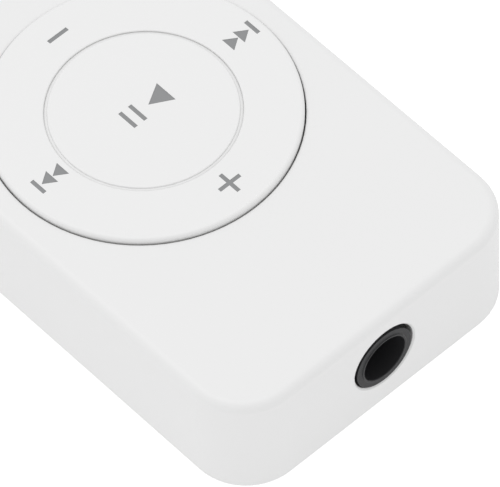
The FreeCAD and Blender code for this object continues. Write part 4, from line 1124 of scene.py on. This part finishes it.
class PLAYER_OT_coil_and_crystal(bpy.types.Operator):
    """Make the wound power coil and the crystal's can"""
    bl_idname = "player.coil_and_crystal"
    bl_label = "Coil and crystal"

    def execute(self, context):
        low, high = corners(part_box("power_coil"))
        middle = middle_of((low, high))
        plate, drum = COIL["plate"], high.z - COIL["plate"]
        edge = high.z - COIL["flange_edge"]
        reach = (high.x - low.x) / 2
        core, flange = COIL["core"] * reach, COIL["flange"] * reach
        shape = bmesh.new()
        add_box(shape, low, (high.x, high.y, low.z + plate), COIL["plate_round"], 3)
        add_disc(shape, middle, core, low.z + plate, drum)
        add_disc(shape, middle, flange, drum, edge, 48)
        add_disc(shape, middle, flange, edge, high.z, 48, COIL["flange_top"] * reach)
        ferrite = mesh_piece("power_coil_core", shape, "coil_ferrite")
        place_piece(ferrite, CASING, "coil_ferrite", "power_coil")
        turns = context.scene.player_details.coil_turns
        height = drum - low.z - plate
        wire = height / (COIL["spacing"] * turns)
        coil = grow("power_coil_wire", winding_tree(), [foot_of((low, high), plate + wire)],
                    {"Radius": core + wire, "Height": height - 2 * wire, "Wire Radius": wire,
                     "Turns": turns}, "coil_copper")
        place_piece(coil, CASING, "contact_metal")
        low, high = corners(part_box("crystal"))
        rim = CRYSTAL["rim"]
        shape = bmesh.new()
        add_box(shape, low, (high.x, high.y, low.z + rim), CRYSTAL["rim_round"])
        add_box(shape, (low.x + rim, low.y + rim, low.z + rim),
                (high.x - rim, high.y - rim, high.z), CRYSTAL["can_round"], 4)
        can = mesh_piece("crystal_can", shape, "can_metal", 50)
        place_piece(can, CASING, "can_metal", "crystal")
        return {"FINISHED"}


class PLAYER_OT_domes(bpy.types.Operator):
    """Make the five snap domes and finish the clear film that holds them"""
    bl_idname = "player.domes"
    bl_label = "Snap domes"

    def execute(self, context):
        dress("dome_film")
        for name, joint in DOME_JOINTS.items():
            make_dome(name)
        return {"FINISHED"}


class PLAYER_OT_battery(bpy.types.Operator):
    """Make the battery's soft pouch with its sealed end and folded sides"""
    bl_idname = "player.battery"
    bl_label = "Battery"

    def execute(self, context):
        low, high = corners(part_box("battery"))
        flap = high.y - context.scene.player_details.pouch_flap
        side, seal, fold = POUCH["side"], POUCH["seal_side"], POUCH["fold"]
        half = POUCH["seal_half"]
        middle = (low.z + high.z) / 2
        shape = bmesh.new()
        add_box(shape, (low.x + side, low.y, low.z), (high.x - side, flap, high.z),
                POUCH["round"], 6)
        add_box(shape, (low.x + seal, flap - POUCH["seal_lap"], middle - half),
                (high.x - seal, high.y, middle + half), POUCH["seal_round"], 3)
        for left, right in ((low.x, low.x + fold), (high.x - fold, high.x)):
            add_box(shape, (left, low.y + POUCH["fold_start"], low.z + POUCH["fold_low"]),
                    (right, flap - POUCH["fold_stop"], high.z - POUCH["fold_high"]),
                    POUCH["fold_round"], 3)
        pouch = mesh_piece("battery_pouch", shape, "cell_wrap", 60)
        place_piece(pouch, CASING, "cell_wrap", "battery")
        dress("battery_foam", "battery_lead_positive", "battery_lead_negative")
        return {"FINISHED"}


class PLAYER_OT_stage(bpy.types.Operator):
    """Make the plain floor, the soft light and the camera"""
    bl_idname = "player.stage"
    bl_label = "Stage and camera"

    def execute(self, context):
        scene = context.scene
        scene.view_settings.view_transform = "Standard"
        for make in (make_sky, make_floor, make_key_light, make_camera):
            make(scene, scene.player_studio)
        return {"FINISHED"}


# ---------------------------------------------------------------- stage
FLOOR_GAP = 0.1 * MM
FLOOR_HALF = 1.5
LAMP_SIZE = 0.9
LAMP_PLACE = Vector((0.02, -0.25, 0.95))


def make_sky(scene, studio):
    """Even white light from all round."""
    scene.world = bpy.data.worlds.new("studio")
    scene.world.use_nodes = True
    feed(scene.world.node_tree.nodes["Background"], {"Color": grey(1), "Strength": studio.sky})


def make_floor(scene, studio):
    """A plain pale floor just under the player, clear from below to show the player's back."""
    shape = bmesh.new()
    level = FRAME_BOX[0][2] - FLOOR_GAP
    bmesh.ops.create_grid(shape, x_segments=1, y_segments=1, size=FLOOR_HALF,
                          matrix=Matrix.Translation((0, 0, level)))
    mesh = bpy.data.meshes.new("floor")
    shape.to_mesh(mesh)
    shape.free()
    floor = new_object("floor", mesh)
    material, tree, shader = new_material("floor_white")
    seen = made(tree, "ShaderNodeLightPath")
    feed(shader, {"Base Color": grey(studio.floor), "Roughness": 1, "Specular IOR Level": 0,
                  "Emission Color": grey(1),
                  "Emission Strength": plus(times(seen, studio.floor_white), studio.floor_glow)})
    below = add(tree, "ShaderNodeNewGeometry").outputs["Backfacing"]
    clear_side = made(tree, "ShaderNodeBsdfTransparent")
    either = made(tree, "ShaderNodeMixShader", {0: below, 1: shader.outputs[0], 2: clear_side})
    feed(tree.nodes["Material Output"], {"Surface": either})
    mesh.materials.append(material)


def make_key_light(scene, studio):
    """One large soft lamp over the player."""
    data = bpy.data.lights.new("key", "AREA")
    data.shape = "DISK"
    data.size = LAMP_SIZE
    data.energy = studio.key
    lamp = new_object("key", data)
    lamp.location = LAMP_PLACE
    lamp.rotation_euler = (-LAMP_PLACE).to_track_quat("-Z", "Y").to_euler()


def make_camera(scene, studio):
    """A distant camera that looks down on the jack end."""
    high = corners(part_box("front_housing"))[1]
    target = Vector((studio.side_shift, high.y - studio.end_shift, high.z))
    level = math.cos(studio.elevation)
    back = Vector((math.sin(studio.azimuth) * level, -math.cos(studio.azimuth) * level,
                   math.sin(studio.elevation)))
    data = bpy.data.cameras.new("camera")
    data.lens = studio.focal_length
    data.sensor_width = 36
    data.clip_start = 0.01
    camera = new_object("camera", data)
    turn = back.to_track_quat("Z", "Y").to_matrix() @ Matrix.Rotation(studio.roll, 3, "Z")
    camera.matrix_world = Matrix.Translation(target + back * studio.distance) @ turn.to_4x4()
    scene.camera = camera


# ---------------------------------------------------------------- panel and registering
OPERATORS = (PLAYER_OT_case, PLAYER_OT_control_pad, PLAYER_OT_headphone_jack, PLAYER_OT_data_plug,
             PLAYER_OT_power_switch, PLAYER_OT_boards, PLAYER_OT_board_screws, PLAYER_OT_chips,
             PLAYER_OT_small_parts, PLAYER_OT_coil_and_crystal, PLAYER_OT_domes, PLAYER_OT_battery,
             PLAYER_OT_stage)
SETTINGS = {"player_colours": PlayerColours, "player_details": PlayerDetails,
            "player_studio": StudioSettings}


class PLAYER_PT_looks(bpy.types.Panel):
    """Lists the player's pieces and settings"""
    bl_idname = "PLAYER_PT_looks"
    bl_label = "Audio player"
    bl_space_type = "VIEW_3D"
    bl_region_type = "UI"
    bl_category = "Player"

    def draw(self, context):
        for operator in OPERATORS:
            self.layout.operator(operator.bl_idname)
        for name, group in SETTINGS.items():
            box = self.layout.box()
            for setting in group.__annotations__:
                box.prop(getattr(context.scene, name), setting)


def register():
    """Register the settings, the operators and the panel."""
    for name, group in SETTINGS.items():
        bpy.utils.register_class(group)
        setattr(bpy.types.Scene, name, PointerProperty(type=group))
    for operator in OPERATORS:
        bpy.utils.register_class(operator)
    bpy.utils.register_class(PLAYER_PT_looks)


def unregister():
    """Undo what register did."""
    bpy.utils.unregister_class(PLAYER_PT_looks)
    for operator in reversed(OPERATORS):
        bpy.utils.unregister_class(operator)
    for name, group in SETTINGS.items():
        delattr(bpy.types.Scene, name)
        bpy.utils.unregister_class(group)


def main():
    """Make every piece in order."""
    register()
    for operator in OPERATORS:
        group, name = operator.bl_idname.split(".")
        getattr(getattr(bpy.ops, group), name)()


if __name__ == "__main__":
    main()
